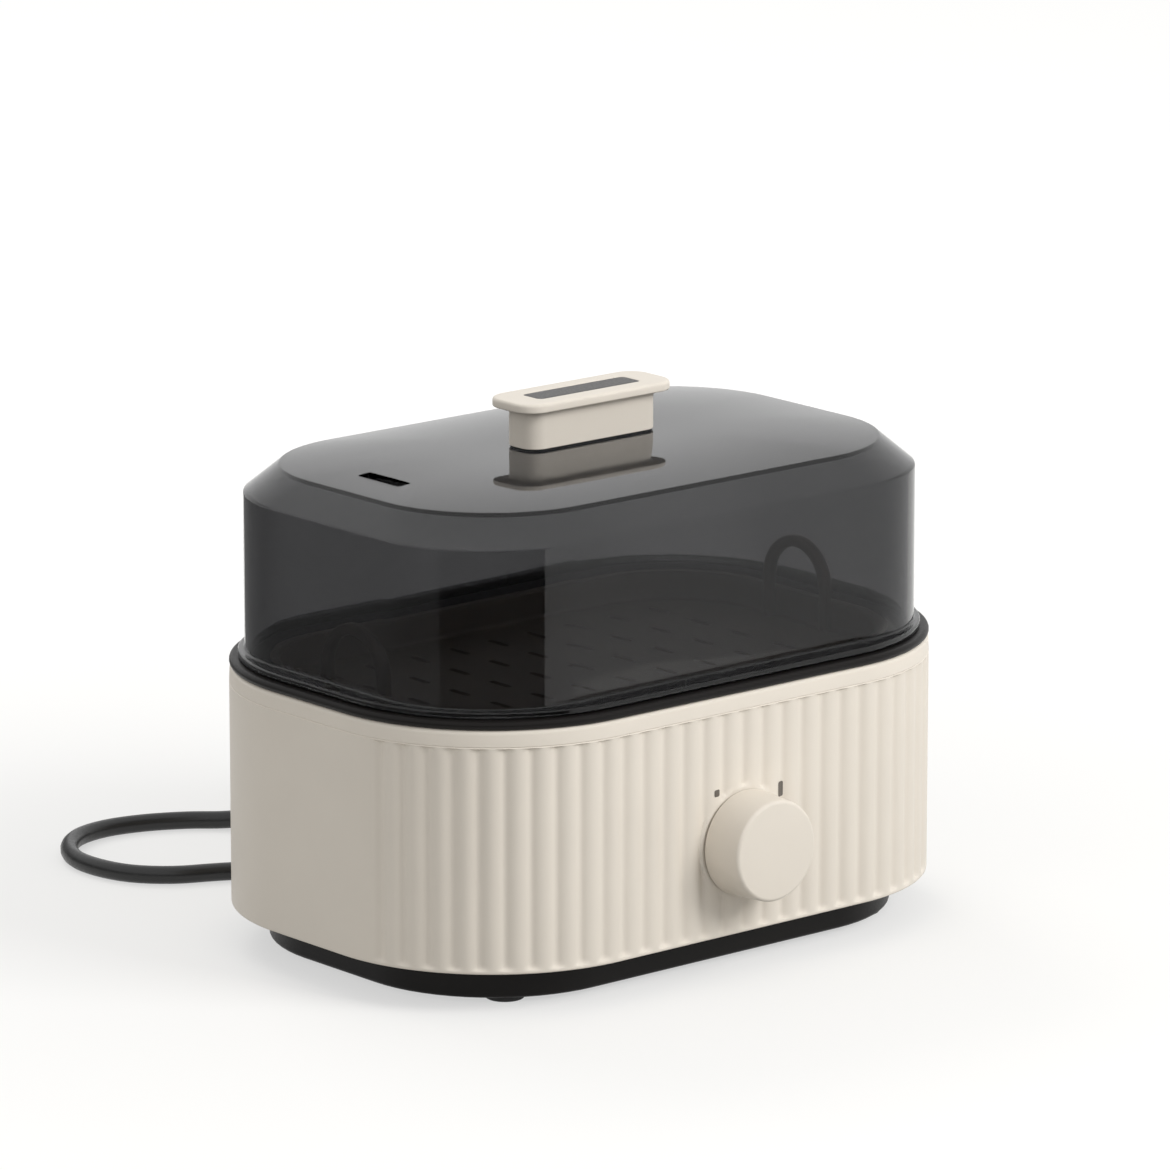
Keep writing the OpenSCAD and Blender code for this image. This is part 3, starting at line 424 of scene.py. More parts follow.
def smooth_path(points, per_span):
    """A Catmull-Rom curve through the points."""
    knots = [Vector(p) for p in points]
    knots = [2 * knots[0] - knots[1], *knots, 2 * knots[-1] - knots[-2]]
    path = []
    for a, b, c, d in zip(knots, knots[1:], knots[2:], knots[3:]):
        square = 2 * a - 5 * b + 4 * c - d
        cube = 3 * b - a - 3 * c + d
        for k in range(per_span):
            t = k / per_span
            path.append(0.5 * (2 * b + (c - a) * t + square * t**2 + cube * t**3))
    path.append(knots[-2])
    return [tuple(p) for p in path]


def skin(bm, rings, closed, ends=(0, -1)):
    """Faces between neighbouring rings; a closed run joins up, an open one has those ends filled."""
    rows = [[bm.verts.new(Vector(p) * MM) for p in ring] for ring in rings]
    count = len(rows[0])
    pairs = list(zip(rows, rows[1:]))
    if closed:
        pairs.append((rows[-1], rows[0]))
    for low, high in pairs:
        for i in range(count):
            j = (i + 1) % count
            bm.faces.new((low[i], low[j], high[j], high[i]))
    for end in () if closed else ends:
        row = rows[end]
        if (row[0].co - row[count // 2].co).length > 1e-6:
            bm.faces.new(row)
    return rows


def placed(name, data):
    """A new object of that data, linked into the scene."""
    thing = bpy.data.objects.new(name, data)
    bpy.context.scene.collection.objects.link(thing)
    return thing


def kept_mesh(bm, name):
    """The edited shape as a mesh of that name."""
    mesh = bpy.data.meshes.new(name)
    bm.to_mesh(mesh)
    bm.free()
    return mesh


def dress(mesh, material, sharp=SHARP):
    """Smooth shading, edges that stay sharp, and one material."""
    mesh.shade_smooth()
    mesh.set_sharp_from_angle(angle=math.radians(sharp))
    mesh.materials.clear()
    mesh.materials.append(material)


def show(name, mesh, material, sharp=SHARP):
    """An object of that mesh, dressed in its material."""
    dress(mesh, material, sharp)
    return placed(name, mesh)


def make_piece(name, shells, material, sharp=SHARP, closed=False):
    """One object of shells, each a list of rings, with faces turned outwards."""
    bm = bmesh.new()
    for rings in shells:
        skin(bm, rings, closed)
    bmesh.ops.remove_doubles(bm, verts=bm.verts, dist=1e-7)
    bmesh.ops.dissolve_degenerate(bm, edges=bm.edges, dist=1e-8)
    bmesh.ops.recalc_face_normals(bm, faces=bm.faces)
    return show(name, kept_mesh(bm, name), material, sharp)


def bar(name, form, low, high, material, x=0):
    """An upright bar with rounded corners, which is then cut out of another piece."""
    section = outline(*form, 0, 6)
    return make_piece(name, [[[(x + u, v, z) for u, v, _ in section] for z in (low, high)]], material)


def made_plain(piece, material, sharp=SHARP):
    """Turns the piece's evaluated shape into its plain mesh and takes its modifiers off."""
    graph = bpy.context.evaluated_depsgraph_get()
    mesh = bpy.data.meshes.new_from_object(piece.evaluated_get(graph))
    piece.modifiers.clear()
    spare = piece.data
    piece.data = mesh
    bpy.data.meshes.remove(spare)
    mesh.name = piece.name
    dress(mesh, material, sharp)
    return piece


def cut(piece, cutter, material, sharp=SHARP):
    """Takes the cutter's shape out of the piece and removes the cutter."""
    bite = piece.modifiers.new("cut", "BOOLEAN")
    bite.operation = "DIFFERENCE"
    bite.solver = "EXACT"
    bite.object = cutter
    made_plain(piece, material, sharp)
    bpy.data.objects.remove(cutter)


def settle(piece, body, material_slot, *nodes):
    """The piece rides on a body and stands for CAD nodes, which are hidden; material_slot is not used."""
    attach(piece, body)
    if nodes:
        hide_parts(*nodes)
    return piece


# Geometry Nodes


def new_tree(name, inputs):
    """A Geometry Nodes tree with a geometry socket each way and the named inputs."""
    tree = bpy.data.node_groups.new(name, "GeometryNodeTree")
    tree.is_modifier = True
    tree.interface.new_socket("Geometry", in_out="INPUT", socket_type="NodeSocketGeometry")
    for label, kind in inputs:
        tree.interface.new_socket(label, in_out="INPUT", socket_type=kind)
    tree.interface.new_socket("Geometry", in_out="OUTPUT", socket_type="NodeSocketGeometry")
    return tree


def end_tree(tree, geometry, material):
    """The tree's last steps: instances made real, the material set, and the result handed out."""
    real = add_node(tree, "GeometryNodeRealizeInstances", links={"Geometry": geometry})
    parts = {"Geometry": real.outputs["Geometry"], "Material": material}
    coated = add_node(tree, "GeometryNodeSetMaterial", links=parts)
    add_node(tree, "NodeGroupOutput", links={"Geometry": coated.outputs["Geometry"]})
    return tree


def run_tree(piece, tree, values, material):
    """Runs a tree on the piece with its inputs set, and keeps the result as a plain mesh."""
    nodes = piece.modifiers.new(tree.name, "NODES")
    nodes.node_group = tree
    for item in tree.interface.items_tree:
        if item.in_out == "INPUT" and item.name in values:
            nodes[item.identifier] = values[item.name]
    return made_plain(piece, material)


def copies_tree():
    """Copies of one form on every point of a mesh, turned by the point's own turn attribute."""
    if "copies_on_points" in bpy.data.node_groups:
        return bpy.data.node_groups["copies_on_points"]
    inputs = [("Form", "NodeSocketObject"), ("Material", "NodeSocketMaterial")]
    tree = new_tree("copies_on_points", inputs)
    given = add_node(tree, "NodeGroupInput").outputs
    form = add_node(tree, "GeometryNodeObjectInfo", links={"Object": given["Form"]})
    turn = add_node(tree, "GeometryNodeInputNamedAttribute", {"data_type": "FLOAT"}, {"Name": "turn"})
    turned = add_node(tree, "ShaderNodeCombineXYZ", links={"Z": turn.outputs["Attribute"]})
    parts = {
        "Points": given["Geometry"],
        "Instance": form.outputs["Geometry"],
        "Rotation": turned.outputs["Vector"],
    }
    made = add_node(tree, "GeometryNodeInstanceOnPoints", links=parts)
    return end_tree(tree, made.outputs["Instances"], given["Material"])


def copies(name, form, spots, material, turns=None):
    """One mesh of copies of a form at those spots; the form itself is removed."""
    mesh = bpy.data.meshes.new(name)
    mesh.from_pydata([Vector(spot) * MM for spot in spots], [], [])
    turn = mesh.attributes.new("turn", "FLOAT", "POINT")
    turn.data.foreach_set("value", turns or [0.0] * len(spots))
    piece = placed(name, mesh)
    run_tree(piece, copies_tree(), {"Form": form, "Material": material}, material)
    bpy.data.objects.remove(form)
    return piece


FLUTE_INPUTS = ("Pitch", "Depth", "Rib Width", "Bottom", "Top", "Fade", "Pad Height", "Pad Radius")
# Each row is a result, how it is worked out, and the results, inputs or numbers that it takes
FLUTE_STEPS = (
    # A rib's face falls off as the square of the distance from its crest, down to a soft valley
    ("turns", "DIVIDE", "along", "Pitch"),
    ("part", "FRACT", "turns"),
    ("phase", "SUBTRACT", "part", 0.5),
    ("aside", "MULTIPLY", "phase", "Pitch"),
    ("from_crest", "DIVIDE", "aside", "Rib Width"),
    ("square", "MULTIPLY", "from_crest", "from_crest"),
    ("fall", "MULTIPLY", "square", 4.0),
    ("wave", "SMOOTH_MIN", "fall", 1.0, 0.15),
    # The lip, the band and the pad behind the knob stay plain
    ("lip_end", "MULTIPLY_ADD", "Fade", 2.0, "Bottom"),
    ("above_lip", "SMOOTHSTEP", "z", "Bottom", "lip_end"),
    ("band_end", "SUBTRACT", "Top", "Fade"),
    ("below_band", "SMOOTHSTEP", "z", "Top", "band_end"),
    ("rise", "SUBTRACT", "z", "Pad Height"),
    ("rise_square", "MULTIPLY", "rise", "rise"),
    ("across_square", "MULTIPLY", "x", "x"),
    ("both_squares", "ADD", "across_square", "rise_square"),
    ("from_knob", "SQRT", "both_squares"),
    ("pad_end", "ADD", "Pad Radius", "Fade"),
    ("off_pad", "SMOOTHSTEP", "from_knob", "Pad Radius", "pad_end"),
    ("between", "MULTIPLY", "above_lip", "below_band"),
    ("open_wall", "MULTIPLY", "between", "off_pad"),
    ("open_wave", "MULTIPLY", "wave", "open_wall"),
    ("share", "MULTIPLY", "open_wave", "fluted"),
    ("deep", "MULTIPLY", "share", "Depth"),
    ("sink", "MULTIPLY", "deep", -1.0),
)


def flutes_tree():
    """Sinks a wall between round ribs along its length, but not in its lip, its band and the pad."""
    inputs = [(name, "NodeSocketFloat") for name in FLUTE_INPUTS]
    tree = new_tree("fluted_wall", inputs + [("Material", "NodeSocketMaterial")])
    given = add_node(tree, "NodeGroupInput").outputs
    known = {name: given[name] for name in FLUTE_INPUTS}
    for name, kind in (("along", "FLOAT"), ("fluted", "FLOAT"), ("outward", "FLOAT_VECTOR")):
        read = add_node(tree, "GeometryNodeInputNamedAttribute", {"data_type": kind}, {"Name": name})
        known[name] = read.outputs["Attribute"]
    spot = add_node(tree, "GeometryNodeInputPosition").outputs["Position"]
    place = add_node(tree, "ShaderNodeSeparateXYZ", links={"Vector": spot}).outputs
    known["x"], known["z"] = place["X"], place["Z"]
    for name, step, *terms in FLUTE_STEPS:
        kind, settings, sockets = "ShaderNodeMath", {"operation": step}, (0, 1, 2)
        if step == "SMOOTHSTEP":
            kind, settings = "ShaderNodeMapRange", {"interpolation_type": step}
            sockets = ("Value", "From Min", "From Max")
        links = {socket: known.get(term, term) for socket, term in zip(sockets, terms)}
        known[name] = add_node(tree, kind, settings, links).outputs[0]
    parts = {0: known["outward"], "Scale": known["sink"]}
    shift = add_node(tree, "ShaderNodeVectorMath", {"operation": "SCALE"}, parts).outputs["Vector"]
    parts = {"Geometry": given["Geometry"], "Offset": shift}
    moved = add_node(tree, "GeometryNodeSetPosition", links=parts)
    return end_tree(tree, moved.outputs["Geometry"], given["Material"])


# Operators


class CookerStage(bpy.types.Operator):
    """Camera, floor, background and studio lights"""

    bl_idname = "cooker.stage"
    bl_label = "Stage"

    # Camera: degrees round and up; aim, lens and sensor in mm; metres away
    TURN, TILT = -40.46, 13.69
    AIM_RIGHT, AIM_UP = 1.21, 118.3
    LENS, SENSOR, AWAY = 253.3, 36.0, 2.8
    # Lamps: place, aim and width in metres, power in watts
    LAMPS = {
        "key_light": ((0.48, -1.13, 0.86), (0, 0, 0.08), 0.7, 15),
        "side_light": ((-1.5, -0.1, 0.8), (0, 0, 0.06), 1.2, 4),
        "back_light": ((0.2, 1.4, 1.5), (0, 0, 0.08), 1.0, 10),
    }
    # Cards that shape the reflections in the lid's wall: bends in metres, seen from above, and brightness
    CARD_HEIGHT = 0.12
    CARDS = {
        "pale_flag": ([(0.5, 0.0), (0.48, -0.28), (0.25, -0.42), (-0.03, -0.4)], 0.88),
        "dark_flag": ([(-0.03, -0.4), (-0.3, -0.36), (-0.4, -0.1)], 0.03),
        "grey_flag": ([(-0.4, -0.1), (-0.4, 0.25), (-0.2, 0.42), (0.06, 0.42)], 0.24),
    }

    def execute(self, context):
        context.scene.view_settings.view_transform = "Standard"
        self.camera(context.scene)
        self.background(context.scene)
        self.floor()
        for name, values in self.LAMPS.items():
            self.lamp(name, *values)
        for name, values in self.CARDS.items():
            self.card(name, *values)
        return {"FINISHED"}

    def camera(self, scene):
        """A long lens from the front left, a little above the lid."""
        turn, tilt = math.radians(self.TURN), math.radians(self.TILT)
        level = math.cos(tilt)
        back = Vector((math.sin(turn) * level, -math.cos(turn) * level, math.sin(tilt)))
        right = Vector((math.cos(turn), math.sin(turn), 0))
        target = (right * self.AIM_RIGHT + Vector((0, 0, self.AIM_UP))) * MM
        lens = bpy.data.cameras.new("camera")
        lens.lens = self.LENS
        lens.sensor_width = self.SENSOR
        lens.clip_end = 50.0
        scene.camera = placed("camera", lens)
        scene.camera.location = target + back * self.AWAY
        scene.camera.rotation_euler = back.to_track_quat("Z", "Y").to_euler()

    def seen(self, tree):
        """1 for rays from the camera, from gloss and through glass, and 0 for the rest."""
        ray = add_node(tree, "ShaderNodeLightPath").outputs
        most = ray["Is Camera Ray"]
        for kind in ("Is Glossy Ray", "Is Transmission Ray"):
            pair = {0: most, 1: ray[kind]}
            most = add_node(tree, "ShaderNodeMath", {"operation": "MAXIMUM"}, pair).outputs[0]
        return most

    def background(self, scene):
        """White to the camera and to gloss and glass, a plain level for the rest."""
        world = bpy.data.worlds.new("studio")
        scene.world = world
        world.use_nodes = True
        tree = world.node_tree
        tree.nodes.clear()
        levels = {"Value": self.seen(tree), "To Min": 0.55, "To Max": 1.0}
        level = add_node(tree, "ShaderNodeMapRange", links=levels).outputs["Result"]
        light = add_node(tree, "ShaderNodeBackground", links={"Color": WHITE, "Strength": level})
        add_node(tree, "ShaderNodeOutputWorld", links={"Surface": light.outputs["Background"]})

    def floor(self):
        """A pale floor that shows white where it is open, keeps the shadow and has a painted shade round the
        cooker.
        """
        bm = bmesh.new()
        bmesh.ops.create_grid(bm, x_segments=8, y_segments=8, size=6.0)
        mesh = kept_mesh(bm, "floor")
        material = blank_material("studio_paper")
        tree = material.node_tree
        matt = add_node(tree, "ShaderNodeBsdfDiffuse", links={"Color": paint("floor")})
        # A glow that grows with the distance from the cooker, in metres, takes the paper to white
        place = add_node(tree, "ShaderNodeTexCoord").outputs["Object"]
        away = add_node(tree, "ShaderNodeVectorMath", {"operation": "LENGTH"}, {0: place})
        # Near the cooker the glow is weaker, which paints a shade round the cooker on top of its real shadow
        levels = {
            "Value": away.outputs["Value"],
            "From Min": 0.12,
            "From Max": 0.7,
            "To Min": 0.56,
            "To Max": 0.73,
        }
        lift = add_node(tree, "ShaderNodeMapRange", links=levels)
        pair = {0: self.seen(tree), 1: lift.outputs["Result"]}
        share = add_node(tree, "ShaderNodeMath", {"operation": "MULTIPLY"}, pair).outputs[0]
        glow = add_node(tree, "ShaderNodeEmission", links={"Color": WHITE, "Strength": share})
        pair = {0: matt.outputs["BSDF"], 1: glow.outputs["Emission"]}
        both = add_node(tree, "ShaderNodeAddShader", links=pair)
        add_node(tree, "ShaderNodeOutputMaterial", links={"Surface": both.outputs["Shader"]})
        mesh.materials.append(material)
        placed("floor", mesh)

    def lamp(self, name, place, aim, width, power):
        """A soft square lamp that faces the aim."""
        light = bpy.data.lights.new(name, "AREA")
        light.shape = "SQUARE"
        light.size = width
        light.energy = power
        lamp = placed(name, light)
        lamp.location = place
        lamp.rotation_euler = (Vector(place) - Vector(aim)).to_track_quat("Z", "Y").to_euler()
        lamp.visible_camera = False
        lamp.visible_glossy = False

    def card(self, name, bends, glow):
        """A standing, folded card that only reflections see."""
        mesh = bpy.data.meshes.new(name)
        count = len(bends)
        corners = [(*spot, z) for z in (0.0, self.CARD_HEIGHT) for spot in bends]
        panels = [(i, i + 1, count + i + 1, count + i) for i in range(count - 1)]
        mesh.from_pydata(corners, [], panels)
        material = blank_material(name)
        tree = material.node_tree
        light = add_node(tree, "ShaderNodeEmission", links={"Color": WHITE, "Strength": glow})
        add_node(tree, "ShaderNodeOutputMaterial", links={"Surface": light.outputs["Emission"]})
        mesh.materials.append(material)
        card = placed(name, mesh)
        card.visible_camera = False
        card.visible_diffuse = False
        card.visible_transmission = False
        card.visible_shadow = False
        card.visible_volume_scatter = False


class CookerLead(bpy.types.Operator):
    """Mains lead with its coil, tie, plug and pins"""

    bl_idname = "cooker.lead"
    bl_label = "Mains lead"

    # Middle line from the strain relief round the loop on the left to the coil, in mm
    ROUTE = [
        (0, 104, 26), (0, 114, 26), (-1, 128, 22), (-4, 143, 13.5), (-10, 158, 6.5), (-20, 171, 3.6),
        (-31, 181, 3.2), (-45, 188, 3.2), (-60, 191, 3.2), (-74, 188, 3.2), (-85, 179, 3.2),
        (-92, 166, 3.2), (-93, 152, 3.2), (-89, 138, 3.2), (-79, 127, 3.2), (-65, 120, 3.2),
        (-50, 112, 3.2), (-34, 105, 3.2), (-18, 100, 3.2), (-2, 98, 3.2), (14, 97, 3.2),
        (30, 97, 3.2), (46, 98, 3.4), (60, 99, 3.8), (70, 100, 4.1), (78, 100, 4.1),
    ]
    COIL_MIDDLE = (88, 138)
    COIL_RADIUS = 38
    COIL_STEP = 7.4
    COIL_FOOT = 4.1
    COIL_LAYER = 7.1
    COIL_TURNS = 2.5
    COIL_TAIL = 24
    POINTS_A_TURN = 36
    # The plug, in mm from its boot's end: width; width and height; how much its face draws in
    BOOT = [
        (0, 10.8), (1, 11.6), (4, 12.2), (4.6, 11.2), (5.6, 11.4),
        (6.2, 12.6), (9, 13.0), (9.6, 12.0), (10.6, 12.2), (11.2, 13.4),
    ]
    SHOULDERS = [(14, 14.6, 14.2), (17, 20, 17), (21, 27, 20), (26, 32, 21.8)]
    FACE = [(32, 0), (42, 0), (44.8, 0.6), (45.6, 1.6), (46, 3)]
    # Where it is narrower than this, the plug is round
    ROUND_BELOW = 15
    # How deep the pins sit in the plug, and the tie's thickness, edge and corner
    PIN_ROOT = 2
    STRAP, STRAP_EDGE, STRAP_CORNER = 0.6, 0.25, 3.6

    def coil(self):
        """The coil's points: in on the lower layer, up where it reverses, and out on the upper one."""
        points = []
        x, y = self.COIL_MIDDLE
        for i in range(round(self.COIL_TURNS * self.POINTS_A_TURN) + 1):
            t = i / self.POINTS_A_TURN
            steps_in = t if t < self.COIL_TURNS / 2 else self.COIL_TURNS - t
            radius = self.COIL_RADIUS - self.COIL_STEP * steps_in
            a = 2 * math.pi * t - math.pi / 2
            z = self.COIL_FOOT + self.COIL_LAYER * min(max(2 * (t - 1), 0), 1)
            points.append((x + radius * math.cos(a), y + radius * math.sin(a), z))
        return points

    def execute(self, context):
        coil = self.coil()
        tail = Vector(coil[-1]) - Vector((self.COIL_TAIL, 0, 0))
        half_tail = Vector(coil[-1]) - Vector((self.COIL_TAIL / 2, 0, 0))
        path = smooth_path(self.ROUTE + coil + [tuple(half_tail), tuple(tail)], 4)
        curve = bpy.data.curves.new("mains_lead", "CURVE")
        curve.dimensions = "3D"
        curve.bevel_depth = size("cord_diameter") / 2 * MM
        curve.bevel_resolution = 5
        curve.use_fill_caps = True
        spline = curve.splines.new("POLY")
        spline.points.add(len(path) - 1)
        for point, spot in zip(spline.points, path):
            point.co = (*(Vector(spot) * MM), 1)
        curve.materials.append(cord_pvc())
        lead = placed("mains_lead", curve)
        settle(lead, "base", "black_rubber", "cord_free", "cord_coil")

        plug = self.plug(tail)
        pins = self.pins()
        tie = self.tie()
        size("cord_diameter") * MM
        return {"FINISHED"}

    def plug(self, tail):
        """A moulded two-pin plug: round ribbed boot, swelling shoulders and a flat face."""
        width, height = PLUG_HIGH.y - PLUG_LOW.y, PLUG_HIGH.z - PLUG_LOW.z
        run = [(along, wide, wide) for along, wide in self.BOOT] + self.SHOULDERS
        run += [(along, width - less, height - less) for along, less in self.FACE]
        rings = []
        for along, wide, high in run:
            corner = min(wide, high) / 2 * (0.999 if wide < self.ROUND_BELOW else 0.74)
            section = outline(wide, high, corner, 0, 8)
            rings.append([(tail.x - along, tail.y + u, tail.z + v) for u, v, _ in section])
        plug = make_piece("plug", [rings], moulded_rubber(), 50)
        return settle(plug, "base", "black_rubber", "plug_body")

    def pins(self):
        """Two round pins with domed ends."""
        radius = (PIN_HIGH.z - PIN_LOW.z) / 2
        reach = PLUG_LOW.x - PIN_LOW.x + self.PIN_ROOT
        corners = [(0, 0, 0), (radius, 0, 0), (radius, reach, radius * 0.7), (0, reach, 0)]
        profile = [(r, -h) for r, h in softened(corners, steps=6)]
        form = make_piece("pin_form", [lathe_rings(profile, (0, 0, 0), "X", 24)], plated_brass())
        x, z = PLUG_LOW.x + self.PIN_ROOT, (PIN_HIGH.z + PIN_LOW.z) / 2
        y = (PIN_HIGH.y + PIN_LOW.y) / 2
        out = (PIN_HIGH.y - PIN_LOW.y) / 2 - radius
        spots = [(x, y - out, z), (x, y + out, z)]
        pins = copies("plug_pins_brass", form, spots, plated_brass())
        return settle(pins, "base", "pin_brass", "plug_pins")

    def tie(self):
        """A soft strap round the coil's strands."""
        width, height = TIE_HIGH.x - TIE_LOW.x, TIE_HIGH.z - TIE_LOW.z
        x, z = (TIE_HIGH.x + TIE_LOW.x) / 2, (TIE_HIGH.z + TIE_LOW.z) / 2
        y = (TIE_HIGH.y + TIE_LOW.y) / 2
        half = (TIE_HIGH.y - TIE_LOW.y) / 2
        spots = ((0, -half), (0, half), (self.STRAP, half), (self.STRAP, -half))
        corners = [(*spot, self.STRAP_EDGE) for spot in spots]
        rings = []
        for inset, along in softened(corners, closed=True, steps=3):
            section = outline(width - 2 * inset, height - 2 * inset, self.STRAP_CORNER - inset, 0, 8)
            rings.append([(x + u, y + along, z + v) for u, v, _ in section])
        tie = make_piece("lead_tie", [rings], black_polypropylene(), closed=True)
        return settle(tie, "base", "black_plastic", "cord_tie")


class CookerCasing(bpy.types.Operator):
    """Fluted casing and the strain relief at its back"""

    bl_idname = "cooker.casing"
    bl_label = "Casing"

    # The mesh: columns to a flute, mm between columns where the wall is plain, rows up the fluted wall
    COLUMNS, PLAIN_COLUMN, ROWS = 16, 3.5, 72
    # How softly the flutes end, and the fine groove under the band as (deep, up) points
    FADE = 0.5
    GROOVE = [(0.14, 0.15), (0.2, 0.3), (0.14, 0.45)]
    GROOVE_HEIGHT = 0.6
    BOOT_RIBS = 5

    def wall_point(self, s, inset):
        """A point of the casing's outline, s along it from the front's middle, and the way it faces."""
        radius = size("casing_radius")
        flat, end = CASING_W / 2 - radius, CASING_D / 2 - radius
        quarter = radius * math.pi / 2
        side, s = (1, s) if s >= 0 else (-1, -s)
        if s <= flat:
            spot, face = (s, -CASING_D / 2 + inset), (0, -1)
        elif s <= flat + quarter:
            a = (s - flat) / radius
            face = (math.sin(a), -math.cos(a))
            spot = (flat + (radius - inset) * face[0], -end + (radius - inset) * face[1])
        elif s <= flat + quarter + 2 * end:
            spot, face = (CASING_W / 2 - inset, -end + s - flat - quarter), (1, 0)
        elif s <= flat + 2 * quarter + 2 * end:
            a = (s - flat - quarter - 2 * end) / radius
            face = (math.cos(a), math.sin(a))
            spot = (flat + (radius - inset) * face[0], end + (radius - inset) * face[1])
        else:
            spot = (2 * flat + 2 * quarter + 2 * end - s, CASING_D / 2 - inset)
            face = (0, 1)
        return (side * spot[0], spot[1]), (side * face[0], face[1])

    def columns(self):
        """Places along the outline, from the front's middle both ways, close together on the flutes."""
        radius = size("casing_radius")
        half = CASING_W - 2 * radius + CASING_D - 2 * radius + math.pi * radius
        reach, fine = size("flute_reach"), size("flute_pitch") / self.COLUMNS
        steps = round(reach / fine)
        rest = round((half - reach) / self.PLAIN_COLUMN)
        along = [reach * k / steps for k in range(steps)]
        along += [reach + (half - reach) * k / rest for k in range(rest + 1)]
        return [-s for s in reversed(along[1:-1])] + along

    def profile(self, lip, band):
        """Up the wall: lower edge, lip, fluted wall, a fine groove under the band, the band's round edge."""
        wall, low, high = size("casing_wall"), CASING_LOW.z, CASING_HIGH.z
        first, last = lip + self.FADE, band - self.FADE
        points = softened([(wall, low, 0), (0, low, 0.5), (0, lip, 0)], steps=4)
        points.append((0, lip + self.FADE / 2))
        points += [(0, first + (last - first) * k / self.ROWS) for k in range(self.ROWS + 1)]
        points += [(0, band - self.FADE / 2), (0, band)]
        points += [(deep, band + up) for deep, up in self.GROOVE]
        edge = [(0, band + self.GROOVE_HEIGHT, 0), (0.25, high, 1.6), (wall, high, 0)]
        return points + softened(edge, steps=6)

    def execute(self, context):
        lip, band = CASING_LOW.z + size("plain_lip"), CASING_HIGH.z - size("plain_band")
        along, profile = self.columns(), self.profile(lip, band)
        bm = bmesh.new()
        place = bm.verts.layers.float.new("along")
        fluted = bm.verts.layers.float.new("fluted")
        outward = bm.verts.layers.float_vector.new("outward")
        rings = [[(*self.wall_point(s, inset)[0], z) for s in along] for inset, z in profile]
        for row, (inset, _) in zip(skin(bm, rings, True), profile):
            for vert, s in zip(row, along):
                vert[place] = s * MM
                vert[fluted] = 1.0 if inset < 1 and abs(s) < size("flute_reach") else 0.0
                vert[outward] = (*self.wall_point(s, inset)[1], 0)
        bmesh.ops.recalc_face_normals(bm, faces=bm.faces)
        casing = show("casing", kept_mesh(bm, "casing"), cream_polypropylene())
        values = {
            "Pitch": size("flute_pitch") * MM,
            "Depth": size("flute_depth") * MM,
            "Rib Width": size("rib_width") * MM,
            "Bottom": lip * MM,
            "Top": band * MM,
            "Fade": self.FADE * MM,
            "Pad Height": (KNOB_LOW.z + KNOB_HIGH.z) / 2 * MM,
            "Pad Radius": size("pad_radius") * MM,
            "Material": cream_polypropylene(),
        }
        run_tree(casing, flutes_tree(), values, cream_polypropylene())
        settle(casing, "base", "cream_plastic", "outer_casing")
        self.relief()
        return {"FINISHED"}

    def relief(self):
        """A tapered, ribbed boot where the lead leaves the casing."""
        start, end = CASING_HIGH.y, RELIEF_HIGH.y
        cord = size("cord_diameter") / 2
        thick, neck, thin = (RELIEF_HIGH.x - RELIEF_LOW.x) / 2, 5.9, cord + 1.2
        hub, bore = thick - 1.8, cord - 0.1
        back, face = start + 0.1, start + 1.8
        profile = [(0, start - 4), (hub, start - 4), (hub, back)]
        collar = [(hub, back, 0), (thick, back, 0.5), (thick, face, 0.5), (neck, face, 0)]
        profile += softened(collar, steps=3)[1:]
        step = (end - start - 3.4) / self.BOOT_RIBS
        for k in range(self.BOOT_RIBS):
            y = start + 2.4 + step * k
            r = neck + (thin - neck) * (k / (self.BOOT_RIBS - 1))
            profile += [(r - 0.7, y), (r - 0.7, y + 0.9), (r, y + 1.1), (r, y + step - 0.2)]
        profile += softened([(thin, end - 1.2, 0), (thin, end, 0.5), (bore, end, 0)], steps=3)
        profile += [(bore, end - 1), (0, end - 1)]
        z = (RELIEF_LOW.z + RELIEF_HIGH.z) / 2
        boot = make_piece("lead_boot", [lathe_rings(profile, (0, 0, z), "Y", 40)], moulded_rubber(), 50)
        settle(boot, "base", "black_rubber", "strain_relief")


def ring_opening():
    """Width, depth and corner radius of the trim ring's opening."""
    width, depth = CASING_W - 2 * size("ledge_ends"), CASING_D - 2 * size("ledge_sides")
    return width, depth, size("opening_radius")


class CookerRing(bpy.types.Operator):
    """Black trim ring round the casing's top"""

    bl_idname = "cooker.ring"
    bl_label = "Trim ring"

    # How far the ring reaches down into its opening from the casing's top
    DECK = 2
    CORNER_STEPS = 20

    def execute(self, context):
        base, top = CASING_HIGH.z, RING_HIGH.z
        bead = (top - base) / 2 * 0.96
        deck = base - self.DECK
        outside = (CASING_W, CASING_D, size("casing_radius"))
        face = [(4, base, 0), (0, base, bead), (0, top, bead), (5, top, 0)]
        mouth = [(4, top, 0), (0, top, 0.9), (0, deck, 0.5), (4, deck, 0)]
        rings = carried(outside, softened(face, steps=7), -1, self.CORNER_STEPS)
        rings += carried(ring_opening(), softened(mouth, steps=4), 1, self.CORNER_STEPS)
        rings += carried(outside, [(6, deck), (6, base)], -1, self.CORNER_STEPS)
        ring = make_piece("trim_ring_black", [rings], black_polypropylene(), closed=True)
        settle(ring, "base", "black_plastic", "trim_ring")
        return {"FINISHED"}


